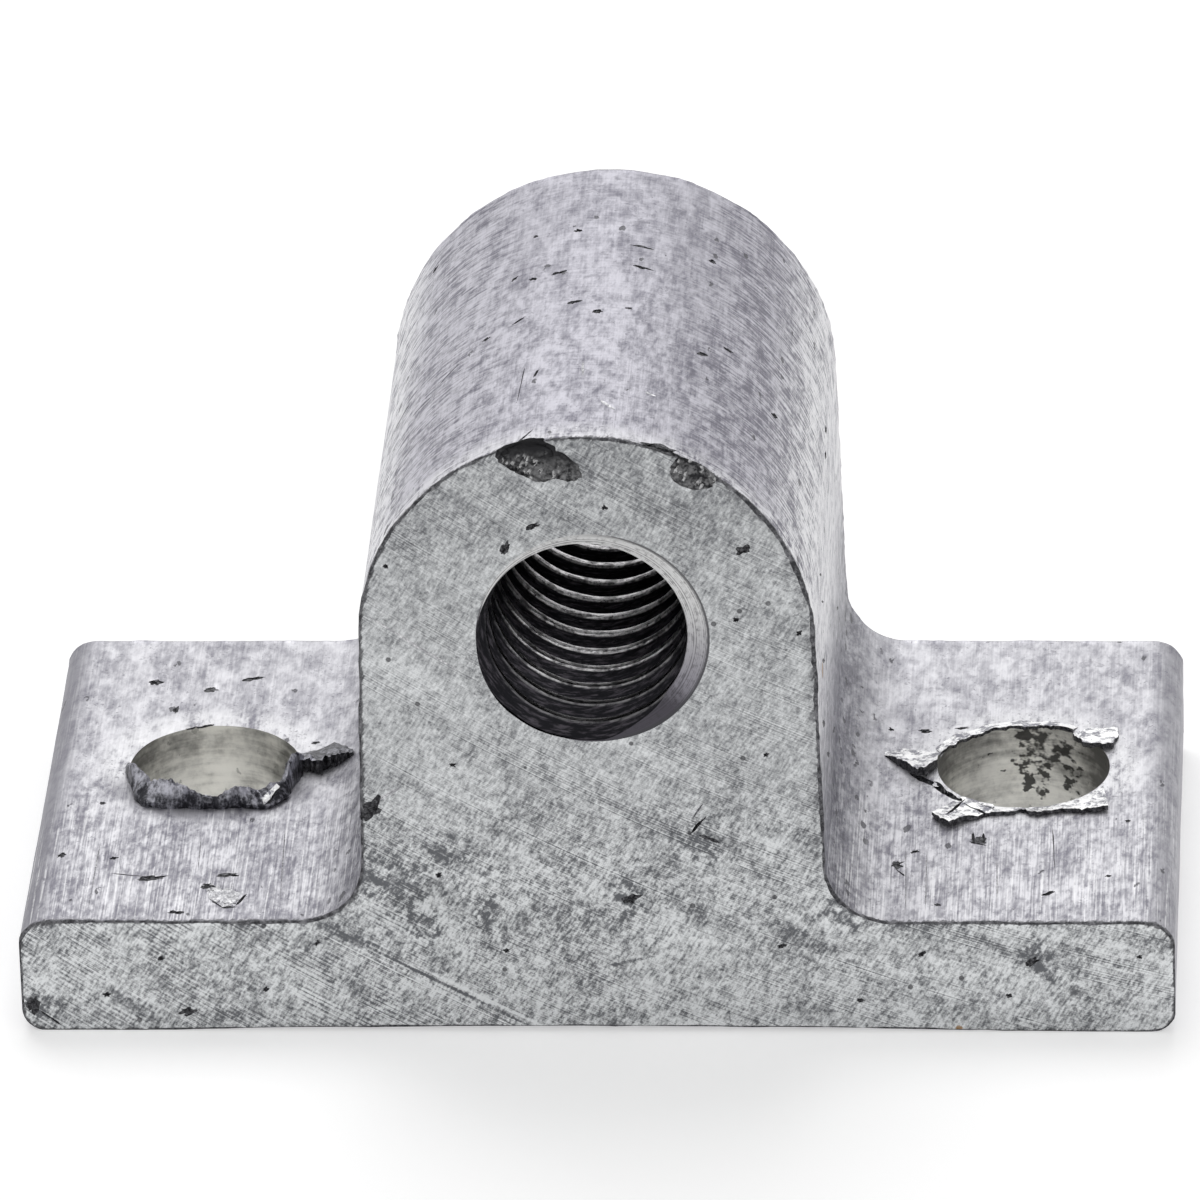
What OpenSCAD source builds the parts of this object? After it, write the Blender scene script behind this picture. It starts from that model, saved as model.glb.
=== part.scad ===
// Adjusting block: a slice sawn from an aluminium bar whose section is a wide foot with an arched boss on it.
// A tapped hole runs through the boss, and a screw hole is drilled down through each side of the foot.
// X runs across the foot, Y along the tapped hole, Z up. The origin is under the middle of the foot.

/* [Bar section] */
// Width across the foot
foot_w = 39; // [36:0.5:60]
// Thickness of the foot
foot_t = 4.2; // [3:0.1:8]
// Radius of the foot's upper corners
foot_top_r = 1; // [0.4:0.1:1.4]
// Radius of the foot's lower corners
foot_low_r = 0.8; // [0.3:0.1:1.4]
// Radius of the arch on top of the boss
arch_r = 7.6; // [6:0.1:9]
// Height of the arch's centre above the foot's underside
arch_z = 14.9; // [13:0.1:24]
// Lean of the boss's sides, which spread towards the foot, in degrees
side_draft = 1.3; // [0:0.1:3]
// Radius of the inner corner between boss and foot
root_r = 2.2; // [0.5:0.1:3]
// Width of the shallow hollow under the foot
hollow_w = 31; // [10:0.5:34]
// Depth of that hollow at the middle
hollow_h = 0.18; // [0.05:0.01:0.4]

/* [Sawn slice] */
// Length of the slice, from sawn face to sawn face
slice_l = 20.3; // [14:0.1:60]

/* [Tapped hole] */
// Drilled diameter of the tapped hole, for M8 with a pitch of 1.25
bore_d = 6.8; // [5:0.1:8.5]
// Height of the tapped hole above the foot's underside
bore_z = 15; // [13:0.1:16]
// Diameter of the countersink at each mouth
sink_d = 7.8; // [6:0.1:9.5]
// Full angle of the countersink, in degrees
sink_angle = 120; // [60:5:140]
// Sideways offset of the hand-held countersink at the front mouth
sink_shift = 0.2; // [0:0.05:0.3]

/* [Screw holes] */
// Diameter of the holes in the foot
hole_d = 5.9; // [4:0.1:6.4]
// Distance between the two holes
hole_pitch = 27.8; // [26.5:0.1:29]
// Sideways offset of the pair from the middle of the foot
hole_shift_x = 0.27; // [-0.4:0.01:0.4]
// Offset of the pair towards the back
hole_shift_y = 0.87; // [-3:0.01:3]

/* [Drilling burrs] */
// Wall of the ragged collar raised round the left hole
collar_wall = 0.2; // [0.15:0.01:0.5]
// Outward flare of the collar at full height
collar_flare = 0.16; // [0:0.01:0.4]
// Full height of the collar, reached by its tallest peak
collar_h = 1.1; // [0.3:0.05:1.5]
// Thickness of the torn leaves at the rims
leaf_t = 0.16; // [0.1:0.01:0.3]
// Lift of the leaf beside the left hole, in degrees
left_lift = 19; // [5:1:25]
// Lift of the leaves round the right hole, in degrees
right_lift = 12; // [5:1:25]
// Lift of the flattened lip along the front of the right hole, in degrees
lip_lift = 9; // [4:1:20]

/* [Edge dents] */
// Radius of each of the two strikes that make the large dent, measured on the sawn face
dent_r = 0.9; // [0.6:0.1:1.5]
// Distance between the two strikes
dent_gap = 1.1; // [0.2:0.1:1.6]
// Depth of the large dent
dent_depth = 0.45; // [0.2:0.05:0.8]
// Place of the large dent, left of the middle
dent_x = 1.4; // [0:0.1:5]
// Distance of the large dent's centre below the arch's edge
dent_drop = 0.7; // [0.2:0.1:1]
// Radius of the small dent, measured on the sawn face
nick_r = 0.75; // [0.4:0.05:1.5]
// Depth of the small dent
nick_depth = 0.35; // [0.15:0.05:0.6]
// Place of the small dent, right of the middle
nick_x = 3.65; // [0:0.05:5.5]
// Distance of the small dent's centre below the arch's edge
nick_drop = 0.45; // [0.2:0.05:1]

/* [Hidden] */
$fn = 96;

// How far cuts run past a surface, and how far raised metal is rooted in the foot
past = 1;
root = 0.12;
// Step between the hole's wall and the inside of the collar
burr_step = 0.04;
// How far the collar runs behind the hole's centre, as a share of the hole's radius
collar_back = 0.15;

face_y = -slice_l / 2;
hole_r = hole_d / 2;
hole_left = [hole_shift_x - hole_pitch / 2, hole_shift_y];
hole_right = [hole_shift_x + hole_pitch / 2, hole_shift_y];
sink_h = (sink_d - bore_d) / 2 / tan(sink_angle / 2);

// Half width of the boss at height z, on the straight side that leaves the arch
function side_x(z) = (arch_r - (z - arch_z) * sin(side_draft)) / cos(side_draft);

// Centre of the inner corner's circle, and where that circle meets the boss's side
root_z = foot_t + root_r;
root_x = side_x(root_z) + root_r / cos(side_draft);
meet_x = root_x - root_r * cos(side_draft);
meet_z = root_z - root_r * sin(side_draft);

// Radius of the wide arc that hollows the underside, and the sides of its circle
hollow_fn = 720;
hollow_r = (pow(hollow_w / 2, 2) + pow(hollow_h, 2)) / (2 * hollow_h);

// Crown of the collar: distance right of the hole's centre, and height as a share of the full height
crown = [
    [-1.06, 0.05], [-0.98, 0.32], [-0.93, 0.62], [-0.86, 0.84], [-0.72, 0.78], [-0.68, 0.6], [-0.58, 0.76],
    [-0.42, 0.9], [-0.34, 0.79], [-0.24, 0.73], [-0.12, 0.53], [0.1, 0.38], [0.16, 0.52], [0.29, 0.71],
    [0.36, 0.73], [0.48, 0.52], [0.56, 0.43], [0.67, 0.55], [0.79, 0.4], [0.84, 0.66], [0.9, 1], [0.96, 0.94],
    [1.02, 0.6], [1.08, 0.2]
];

// Torn leaves, each drawn flat from the line it is hinged on, x to the right and y to the back, and the
// start of that line from the hole's centre, all in shares of the hole's radius
chip_left_at = [1, 0.42];
chip_left = [
    [0, -0.62], [0.11, -0.58], [0.2, -0.7], [0.3, -0.6], [0.54, -0.44], [0.62, -0.36], [0.56, 0.02],
    [0.37, 0.08], [0, 0.06]
];
chip_right_at = [-1, 0.45];
chip_right = [
    [-0.8, 0.03], [-0.68, -0.13], [-0.34, -0.57], [-0.22, -0.73], [-0.14, -0.71], [-0.06, -0.57],
    [0.02, -0.42], [0.02, 0.06], [-0.3, 0.08], [-0.6, 0.08]
];
chip_front_at = [-0.6, -0.78];
chip_front = [
    [-0.1, 0.1], [-0.18, -0.02], [-0.43, -0.4], [-0.33, -0.61], [-0.21, -0.68], [0.07, -0.47],
    [0.24, -0.37], [0.17, -0.11], [0, 0.02]
];
chip_back_at = [0.85, 0.95];
chip_back = [
    [-0.24, -0.1], [-0.15, -0.42], [0.03, -0.53], [0.17, -0.51], [0.22, -0.18], [0.22, 0.13], [-0.04, 0.05]
];
lip_at = [0, -0.8];
lip = [
    [-0.36, -0.35], [-0.13, -0.35], [-0.02, -0.28], [0.1, -0.35], [0.22, -0.37], [0.45, -0.3], [0.85, -0.28],
    [1, -0.26], [1.04, 0.33], [0.8, 0.3], [0.3, 0.1], [-0.36, 0.1]
];

// Foot with its corners rounded
module foot_outline() {
    half = foot_w / 2;
    difference() {
        translate([-half, 0])
            square([foot_w, foot_t]);
        for (side = [-1, 1]) {
            corner_cut(side * (half - foot_top_r), foot_t - foot_top_r, foot_top_r, side, 1);
            corner_cut(side * (half - foot_low_r), foot_low_r, foot_low_r, side, -1);
        }
        translate([0, hollow_h - hollow_r])
            circle(hollow_r, $fn = hollow_fn);
    }
}

// What a round corner takes away, outwards along sx and sy from the corner circle's centre
module corner_cut(x, y, r, sx, sy) {
    difference() {
        translate([x, y])
            polygon([[0, 0], [sx * (r + past), 0], [sx * (r + past), sy * (r + past)], [0, sy * (r + past)]]);
        translate([x, y])
            circle(r);
    }
}

// Arch on straight sides that spread a little on their way down
module boss_outline() {
    top_x = arch_r * cos(side_draft);
    top_z = arch_z + arch_r * sin(side_draft);
    low_z = foot_t / 2;
    translate([0, arch_z])
        circle(arch_r);
    polygon([[-top_x, top_z], [-side_x(low_z), low_z], [side_x(low_z), low_z], [top_x, top_z]]);
}

// Metal that fills the inner corner between boss and foot
module root_outline(side) {
    inner = side_x(foot_t) - past;
    difference() {
        polygon([
            [side * inner, meet_z], [side * meet_x, meet_z], [side * root_x, foot_t],
            [side * root_x, foot_t / 2], [side * inner, foot_t / 2]
        ]);
        translate([side * root_x, root_z])
            circle(root_r);
    }
}

module bar() {
    rotate([90, 0, 0])
        linear_extrude(height = slice_l, center = true) {
            foot_outline();
            boss_outline();
            for (side = [-1, 1])
                root_outline(side);
        }
}

// Tapping drill through the boss, with a countersink at each mouth
module bore_cut() {
    translate([0, 0, bore_z])
        rotate([90, 0, 0])
            cylinder(h = slice_l + 2 * past, d = bore_d, center = true);
    sink_cut(-1, sink_shift);
    sink_cut(1, 0);
}

module sink_cut(side, shift) {
    spread = past * tan(sink_angle / 2);
    translate([shift, side * slice_l / 2, bore_z])
        rotate([-side * 90, 0, 0])
            translate([0, 0, -sink_h])
                cylinder(h = sink_h + past, r1 = bore_d / 2, r2 = sink_d / 2 + spread);
}

module screw_hole_cut(place) {
    translate([place[0], place[1], -past])
        cylinder(h = foot_t + collar_h + 2 * past, r = hole_r);
}

// Round dent of radius r on the front face, below the arch's edge
module dent_cut(x, drop, r, depth) {
    ball_r = (r * r + depth * depth) / (2 * depth);
    edge_z = arch_z + sqrt(arch_r * arch_r - x * x);
    translate([x, face_y + depth - ball_r, edge_z - drop])
        sphere(ball_r);
}

// Ragged collar that the drill pushed up round the front half of the left hole
module collar() {
    inner = hole_r + burr_step;
    wide = hole_r + collar_wall;
    reach = (1 + collar_back) * hole_r + collar_wall + collar_flare + past;
    translate([hole_left[0], hole_left[1], foot_t])
        intersection() {
            rotate_extrude()
                polygon([
                    [inner, -root], [inner + collar_wall, -root],
                    [inner + collar_wall + collar_flare, collar_h], [inner + collar_flare, collar_h]
                ]);
            translate([0, collar_back * hole_r, 0])
                rotate([90, 0, 0])
                    linear_extrude(height = reach)
                        polygon(concat(
                            [[crown[0][0] * wide, -root - past]],
                            [for (p = crown) [p[0] * wide, p[1] * collar_h]],
                            [[crown[len(crown) - 1][0] * wide, -root - past]]
                        ));
        }
}

// Thin torn leaf, hinged at its root line and lifted at the front
module leaf(outline, hole, start, lift) {
    translate([hole[0] + start[0] * hole_r, hole[1] + start[1] * hole_r, foot_t - root])
        rotate([-lift, 0, 0])
            linear_extrude(height = leaf_t)
                polygon([for (p = outline) p * hole_r]);
}

module burrs() {
    collar();
    leaf(chip_left, hole_left, chip_left_at, left_lift);
    leaf(chip_right, hole_right, chip_right_at, right_lift);
    leaf(chip_front, hole_right, chip_front_at, right_lift);
    leaf(chip_back, hole_right, chip_back_at, right_lift);
    leaf(lip, hole_right, lip_at, lip_lift);
}

module adjusting_block() {
    color("silver")
        difference() {
            union() {
                bar();
                burrs();
            }
            bore_cut();
            screw_hole_cut(hole_left);
            screw_hole_cut(hole_right);
            for (side = [-1, 1])
                dent_cut(-dent_x + side * dent_gap / 2, dent_drop, dent_r, dent_depth);
            dent_cut(nick_x, nick_drop, nick_r, nick_depth);
        }
}

adjusting_block();
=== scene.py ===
# Adjusting block: a sawn slice of aluminium bar with a tapped hole and two screw holes left unfinished.
# Shapes are worked out in millimetres and scaled to metres once the block is whole.
import math
from types import SimpleNamespace
import bmesh
import bpy
from mathutils import Matrix, Vector, noise


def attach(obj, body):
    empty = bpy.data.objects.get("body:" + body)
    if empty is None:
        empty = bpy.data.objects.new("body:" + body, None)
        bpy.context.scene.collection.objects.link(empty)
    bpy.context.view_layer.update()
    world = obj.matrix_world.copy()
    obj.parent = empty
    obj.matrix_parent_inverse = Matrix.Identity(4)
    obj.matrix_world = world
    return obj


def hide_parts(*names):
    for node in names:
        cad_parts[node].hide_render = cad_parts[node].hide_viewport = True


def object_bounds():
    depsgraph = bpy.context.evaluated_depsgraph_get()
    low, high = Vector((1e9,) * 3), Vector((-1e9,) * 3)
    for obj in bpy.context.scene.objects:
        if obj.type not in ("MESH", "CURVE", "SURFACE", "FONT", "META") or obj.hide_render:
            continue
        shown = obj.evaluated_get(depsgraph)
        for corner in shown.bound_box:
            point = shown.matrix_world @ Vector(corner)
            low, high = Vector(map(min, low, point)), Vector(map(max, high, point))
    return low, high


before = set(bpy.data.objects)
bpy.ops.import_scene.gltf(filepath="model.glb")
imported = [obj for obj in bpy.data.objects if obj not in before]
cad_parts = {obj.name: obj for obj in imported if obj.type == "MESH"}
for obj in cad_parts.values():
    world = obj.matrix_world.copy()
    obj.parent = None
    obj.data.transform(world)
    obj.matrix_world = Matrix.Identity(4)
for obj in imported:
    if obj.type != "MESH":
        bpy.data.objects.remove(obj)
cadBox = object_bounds()
scene = bpy.context.scene
mm = 0.001
print("frame loaded")

# Sizes of the sawn slice of bar, in millimetres and degrees
bar = {
    "footWidth": 39.0, "footThickness": 4.2, "footTopRadius": 1.0, "footLowRadius": 0.8,
    "archRadius": 7.6, "archHeight": 14.9, "sideDraft": 1.3, "rootRadius": 2.2,
    "hollowWidth": 31.0, "hollowDepth": 0.18, "length": 20.3,
    "fineStep": 0.16, "coarseStep": 0.6, "ringStep": 0.5, "sharpAngle": 32,
    "edgeRings": [0.025, 0.06, 0.1, 0.16, 0.25, 0.4, 0.65],
    "edgeLine": 0.065, "rightEdge": 1.6, "edgeBurr": 0.05, "burrDepth": 0.08,
    "edgeWear": 0.02, "wearDepth": 0.03, "waviness": 0.02,
}

# The tapped hole, M8, and its countersinks
tapped = {
    "drill": 3.38, "major": 3.86, "pitch": 1.25, "crest": 0.26, "root": 0.2, "height": 15.0, "segments": 144,
    "overrun": 2, "exitAngle": 225.0, "inset": 0.1, "crestWear": 0.02, "waver": 0.025,
    "sinkRadius": 3.9, "sinkAngle": 140.0, "sinkShift": 0.22, "sinkOverlap": 0.3, "sinkWaver": 0.015,
}

# The two screw holes in the foot: radius, and places across and along
drilled = {
    "radius": 2.95, "left": (-13.63, 0.87), "right": (14.17, 0.87), "segments": 96, "ringStep": 0.25,
    "past": 1.0, "above": 2.5, "ripple": 0.012, "waver": 0.02,
}


# Shader tools

class Wire:
    # A socket that can stand in a sum, and the way to new nodes in its tree
    def __init__(self, tree, socket=None):
        self.tree = tree
        self.socket = socket

    def node(self, kind, settings=None, inputs=None, output=0):
        made = self.tree.nodes.new("ShaderNode" + kind)
        for name, value in (settings or {}).items():
            setattr(made, name, value)
        for name, value in (inputs or {}).items():
            if isinstance(value, Wire):
                self.tree.links.new(value.socket, made.inputs[name])
            else:
                made.inputs[name].default_value = value
        return Wire(self.tree, made.outputs[output]) if len(made.outputs) else None

    def maths(self, operation, first, second=0):
        return self.node("Math", {"operation": operation}, {0: first, 1: second})

    def __add__(self, other):
        return self.maths("ADD", self, other)

    def __radd__(self, other):
        return self.maths("ADD", other, self)

    def __sub__(self, other):
        return self.maths("SUBTRACT", self, other)

    def __rsub__(self, other):
        return self.maths("SUBTRACT", other, self)

    def __mul__(self, other):
        return self.maths("MULTIPLY", self, other)

    def __rmul__(self, other):
        return self.maths("MULTIPLY", other, self)

    def __pow__(self, other):
        return self.maths("POWER", self, other)


def step(value, low, high):
    # 0 below low, 1 above high, smooth between; low above high turns it round
    return value.node("MapRange", {"interpolation_type": "SMOOTHSTEP"},
                      {"Value": value, "From Min": low, "From Max": high})


def swing(value, gain):
    # Noise made to swing about 0
    return (value - 0.5) * gain


def blend(mask, first, second, how="MIX"):
    # Colours, mixed by a mask
    return mask.node("Mix", {"data_type": "RGBA", "blend_type": how}, {0: mask, 6: first, 7: second}, 2)


def axes(place, names):
    return [place.node("SeparateXYZ", inputs={"Vector": place}, output=name) for name in names]


def distance(place, spot):
    return place.node("VectorMath", {"operation": "DISTANCE"}, {0: place, 1: spot}, "Value")


def turned(place, angles):
    return place.node("Mapping", inputs={"Vector": place, "Rotation": [math.radians(a) for a in angles]})


def stretched(place, factors):
    return place.node("VectorMath", {"operation": "MULTIPLY"}, {0: place, 1: factors})


def shifted(place, way):
    return place.node("VectorMath", {"operation": "ADD"}, {0: place, 1: way})


def shaken(place, rough, amount):
    # A place moved by a noise, so that round specks lose their shape
    return shifted(place, stretched(rough, (amount, amount, amount)))


def grain(place, size, detail=2.0, roughness=0.5, distortion=0.0):
    # Noise from 0 to 1 with features of about this size in millimetres
    return place.node("TexNoise", inputs={"Vector": place, "Scale": 1 / size, "Detail": detail,
                                          "Roughness": roughness, "Distortion": distortion})


def ripple(value, size, detail):
    # Noise from 0 to 1 along a single measure
    return value.node("TexNoise", {"noise_dimensions": "1D"},
                      {"W": value, "Scale": 1 / size, "Detail": detail})


def specks(place, spacing, radius, share, shift):
    # Scattered round specks: only this share of the cells holds one
    cells = {"Vector": shifted(place, (shift, shift, shift)), "Scale": 1 / spacing}
    near = place.node("TexVoronoi", {"feature": "F1"}, cells, "Distance")
    pick = place.node("TexVoronoi", {"feature": "F1"}, cells, "Color")
    chance = place.node("SeparateColor", inputs={"Color": pick})
    return step(near, radius / spacing, 0.7 * radius / spacing) * step(chance, share + 0.01, share - 0.01)


def startFinish(name):
    # A new material, and a place in millimetres to start its nodes from
    material = bpy.data.materials.new(name)
    material.use_nodes = True
    tree = material.node_tree
    tree.nodes.clear()
    coordinates = Wire(tree).node("TexCoord", output="Object")
    return material, stretched(coordinates, (1 / mm, 1 / mm, 1 / mm))


def endFinish(place, colour, roughness, metallic, height, depth):
    # Height in millimetres of relief, 0 to 1, over this depth
    bump = place.node("Bump", inputs={"Height": height, "Distance": depth * mm, "Strength": 1.0})
    skin = place.node("BsdfPrincipled", inputs={"Base Color": colour, "Roughness": roughness,
                                                "Metallic": metallic, "Normal": bump})
    place.node("OutputMaterial", inputs={"Surface": skin})


# The sawn faces

def rounded(operation, first, second, radius):
    # The smaller or larger of two depths, with the corner between them rounded
    return first.node("Math", {"operation": operation}, {0: first, 1: second, 2: 1.76 * radius})


def edgeDepth(place):
    # How deep a point of a sawn face lies inside the face's outline
    x, z = axes(place, "XZ")
    top = rounded("SMOOTH_MIN", bar["footThickness"] - z, bar["footWidth"] / 2 - x.maths("ABSOLUTE", x),
                  bar["footTopRadius"])
    foot = rounded("SMOOTH_MIN", top, z, bar["footLowRadius"])
    above = x.maths("MAXIMUM", z - bar["archHeight"])
    below = x.maths("MAXIMUM", bar["archHeight"] - z) * math.tan(math.radians(bar["sideDraft"]))
    boss = bar["archRadius"] + below - (x * x + above * above) ** 0.5
    return rounded("SMOOTH_MAX", foot, boss, bar["rootRadius"])


def smear(place, start, end, wide):
    # How far a point lies from a line on the front face: 0 on its middle, 1 at its ends and sides
    across, up = (start[0] + end[0]) / 2, (start[1] + end[1]) / 2
    slope = math.degrees(math.atan2(end[1] - start[1], end[0] - start[0]))
    level = turned(shifted(place, (-across, 0, -up)), (0, slope, 0))
    return distance(stretched(level, (2 / math.dist(start, end), 0, 1 / wide)), (0, 0, 0))


sawn = {
    # Blade's centre and the spacing of its lines in millimetres
    "bladeCentre": (42.0, 0.0, 88.0), "line": 0.045, "groove": 0.155, "band": 1.1,
    "dark": (0.125, 0.13, 0.14, 1), "light": (0.76, 0.775, 0.785, 1), "blot": (0.11, 0.112, 0.12, 1),
    "edge": (0.06, 0.06, 0.065, 1), "speck": (0.05, 0.05, 0.055, 1), "rustColour": (0.30, 0.15, 0.03, 1),
    "rust": (12.2, 0.0, 0.12), "base": 0.53, "fineSmear": 0.09,
    "roughness": 0.42, "metallic": 0.75, "relief": 0.035,
    # Dirty patches on the front face: across, height, radius
    "smudges": [(-6.4, 5.5, 1.3), (-7.7, 6.1, 0.8), (-5.8, 4.1, 0.6), (1.1, 5.2, 0.8), (14.76, 2.8, 0.7),
                (3.8, 7.2, 0.9), (8.4, 4.6, 0.8), (-18.9, 1.1, 0.7), (-4.9, 6.8, 0.9), (-3.6, 4.6, 0.7)],
    "smudgeTone": 0.36,
    # Smears left by the saw: start, end, half width, change of tone
    "smears": [((-10.0, 4.5), (-5.7, 2.2), 0.30, -0.30), ((-8.6, 3.72), (-1.4, -0.3), 0.085, -0.55),
               ((-7.7, 3.42), (-0.7, -0.45), 0.09, 0.50), ((-5.9, 2.02), (-2.0, -0.25), 0.05, -0.35),
               ((-16.9, 1.9), (-14.7, 0.1), 0.36, -0.22), ((5.4, 4.2), (8.4, 3.0), 0.45, -0.22),
               ((12.0, 4.3), (17.6, 0.6), 0.24, -0.22), ((15.0, 3.7), (19.4, 1.75), 0.12, -0.22),
               ((0.1, 2.45), (2.1, 2.92), 0.08, -0.30), ((4.38, 1.2), (4.52, 0.15), 0.05, -0.30),
               ((-18.9, 3.4), (-9.6, -2.2), 0.10, 0.16), ((-16.0, 4.3), (-8.4, -0.3), 0.12, -0.14)],
}


def sawnLook(place):
    # The fields that a sawn face's colour and relief are mixed from
    look = SimpleNamespace(place=place, flat=stretched(place, (1, 0, 1)))
    look.x, look.z = axes(look.flat, "XZ")
    look.patches = grain(place, 1.9, 4.0, 0.6, 0.5)
    look.mottle = grain(place, 0.42, 3.0, 0.65)
    look.fine = grain(place, 0.1, 2.0, 0.7)
    look.fibres = grain(stretched(turned(place, (0, -32, 0)), (12, 12, 2.6)), 1.0, 1.0)
    look.reach = distance(look.flat, sawn["bladeCentre"])
    look.lines = ripple(look.reach, sawn["line"], 1.0)
    look.lineShow = step(grain(place, 1.6, 2.0), 0.34, 0.62)
    return look


def sawnTone(look):
    # Saw lines are arcs about the blade's centre, and short fibres cross them
    x, z = look.x, look.z
    bands = ripple(look.reach, sawn["band"], 4.0)
    grooves = look.reach.maths("SINE", look.reach * (2 * math.pi / sawn["groove"]))
    grooveShow = look.lineShow * (0.3 + step(x, -3.0, -8.0) * step(z, 6.0, 4.0))
    arcs = (swing(look.lines, 0.25) + swing(look.lines, 0.6) * look.lineShow + grooves * grooveShow * 0.13
            + swing(bands, 0.35))
    # The foot is coarser than the boss, and the top of the boss is a little darker as painted shade
    lowMiddle = step(x, -9.0, -7.0) * step(x, 4.0, 0.0) * step(z, 9.0, 6.0)
    coarse = 0.62 + step(z, 12.0, 5.0) * 0.42 + lowMiddle * 0.12
    tone = sawn["base"] + coarse * (arcs + swing(look.patches, 0.65) + swing(look.mottle, 1.1)
                                    + swing(look.fine, 1.3) + swing(look.fibres, 0.95))
    tone = tone - step(z, 16.0, 20.0) * 0.09 + step(z, 4.5, 2.5) * step(x, -8.0, -4.0) * 0.05
    for across, up, size in sawn["smudges"]:
        far = distance(look.flat, (across, 0, up)) + swing(look.mottle, 3.0)
        tone = tone - step(far, size, 0.0) * sawn["smudgeTone"]
    for start, end, wide, change in sawn["smears"]:
        ragged = swing(look.mottle, 1.2) if wide > sawn["fineSmear"] else swing(look.fine, 0.7)
        tone = tone + step(smear(look.flat, start, end, wide) + ragged, 1.0, 0.35) * change
    return tone


def sawnEdges(colour, look):
    # A darker band inside the boss's right edge, and the dark line round the face, thickest up the boss's
    # left side; the line is dirt and the painted shadow of the edge burr
    x, z = look.x, look.z
    depth = edgeDepth(look.flat)
    bossEdge = step(depth, 0.55, 0.1) * step(x, 1.0, 5.0) * step(z, 5.5, 7.0)
    colour = blend(bossEdge * (0.2 + step(look.mottle, 0.5, 0.4) * 0.5), colour, sawn["blot"])
    thick = step(x, -6.4, -7.0) * step(x, -8.6, -8.0) * 0.05
    frayed = step(depth - thick + swing(look.fibres, 0.16) + swing(look.mottle, 0.24), 0.11, 0.03)
    return blend(frayed * 0.85, colour, sawn["edge"])


def sawnFinish():
    material, place = startFinish("sawnFace")
    look = sawnLook(place)
    colour = blend(step(sawnTone(look), 0.0, 1.0), sawn["dark"], sawn["light"])
    colour = sawnEdges(colour, look)
    rust = distance(look.flat, sawn["rust"]) + swing(look.fine, 0.15)
    colour = blend(step(rust, 0.16, 0.08) * 0.8, colour, sawn["rustColour"])
    pepper = step(grain(place, 0.15, 2.0, 0.6), 0.44, 0.33) * step(look.patches, 0.56, 0.40)
    colour = blend(pepper * 0.48, colour, sawn["blot"])
    dots = specks(place, 0.9, 0.11, 0.22, 3.1)
    colour = blend(dots * 0.8, colour, sawn["speck"])
    height = (look.lines * (0.2 + look.lineShow * 0.5) + look.mottle * 0.5 + look.fibres * 0.35
              + look.fine * 0.3 - dots * 0.6 - pepper * 0.3)
    roughness = sawn["roughness"] + swing(look.mottle, 0.3)
    endFinish(place, colour, roughness, sawn["metallic"], height, sawn["relief"])
    return material


# The skin that the bar was extruded with

skin = {
    "dark": (0.19, 0.185, 0.225, 1), "light": (0.76, 0.755, 0.79, 1), "archShade": (0.74, 0.73, 0.78, 1),
    "wallShade": (0.36, 0.36, 0.39, 1), "blot": (0.17, 0.165, 0.20, 1), "shine": (0.97, 0.97, 0.98, 1),
    "speck": (0.06, 0.06, 0.07, 1), "rustColour": (0.42, 0.22, 0.04, 1), "rust": (7.75, -6.15, 11.69),
    "base": 0.60, "roughness": 0.48, "metallic": 0.4, "relief": 0.035,
}


def skinLook(place):
    # The fields that the skin's colour and relief are mixed from
    look = SimpleNamespace(place=place, along=stretched(place, (1, 0.5, 1)))
    look.x, look.y, look.z = axes(place, "XYZ")
    look.wide = look.x.maths("ABSOLUTE", look.x)
    look.lines = grain(stretched(place, (1, 0.03, 1)), 0.075, 1.0, 0.6)
    look.fibres = grain(stretched(turned(place, (0, 0, 14)), (1, 0.25, 1)), 0.13, 2.0, 0.6)
    look.patches = grain(look.along, 1.1, 4.0, 0.6, 0.6)
    look.blotches = grain(look.along, 0.5, 3.0, 0.6, 0.4)
    look.mottle = grain(look.along, 0.26, 3.0, 0.65)
    look.front = step(look.y, 1.0, -6.0)
    look.onArch = step(look.z, 9.0, 14.0)
    look.onFoot = 1 - look.onArch
    # The arch was rubbed crossways: its fibres run round it
    angle = look.x.maths("ARCTAN2", look.x, look.z - bar["archHeight"])
    look.round = place.node("CombineXYZ", inputs={"X": angle * (bar["archRadius"] * 0.13), "Y": look.y})
    look.rubbed = grain(look.round, 0.13, 3.0, 0.7)
    return look


def skinTone(look):
    # Die lines run along the bar, and the front ends of the foot show them most
    x, y, z, onArch = look.x, look.y, look.z, look.onArch
    crisp = 0.5 + step(y, 8.0, -4.0) * 0.5
    dieLines = look.front * look.onFoot * step(look.blotches, 0.35, 0.6)
    tone = (skin["base"] + swing(look.patches, 0.95) + swing(look.blotches, 1.0)
            + (swing(look.mottle, 1.15) + swing(look.fibres, 0.65)) * crisp
            + swing(look.lines, 0.35) + swing(look.lines, 1.2) * dieLines)
    shaded = onArch * step(x, 1.5, 5.5) * step(x, 7.4, 6.4)
    tone = tone - look.onFoot * (0.04 + look.front * step(x, 3.0, -3.0) * 0.07) - shaded * 0.16
    # The arch's flanks were rubbed most, and its left side is scuffed
    flanks = step(look.wide, 2.5, 6.0) * step(z, 12.0, 15.0)
    tone = tone + swing(look.rubbed, 3.1) * (onArch * 0.2 + flanks * 0.8)
    archLeft = onArch * step(x, -1.5, -4.5)
    scuffs = step(grain(stretched(look.round, (2.5, 1, 1)), 0.4, 3.0, 0.7), 0.50, 0.36)
    return tone - scuffs * archLeft * 0.38 + archLeft * 0.06


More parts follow.
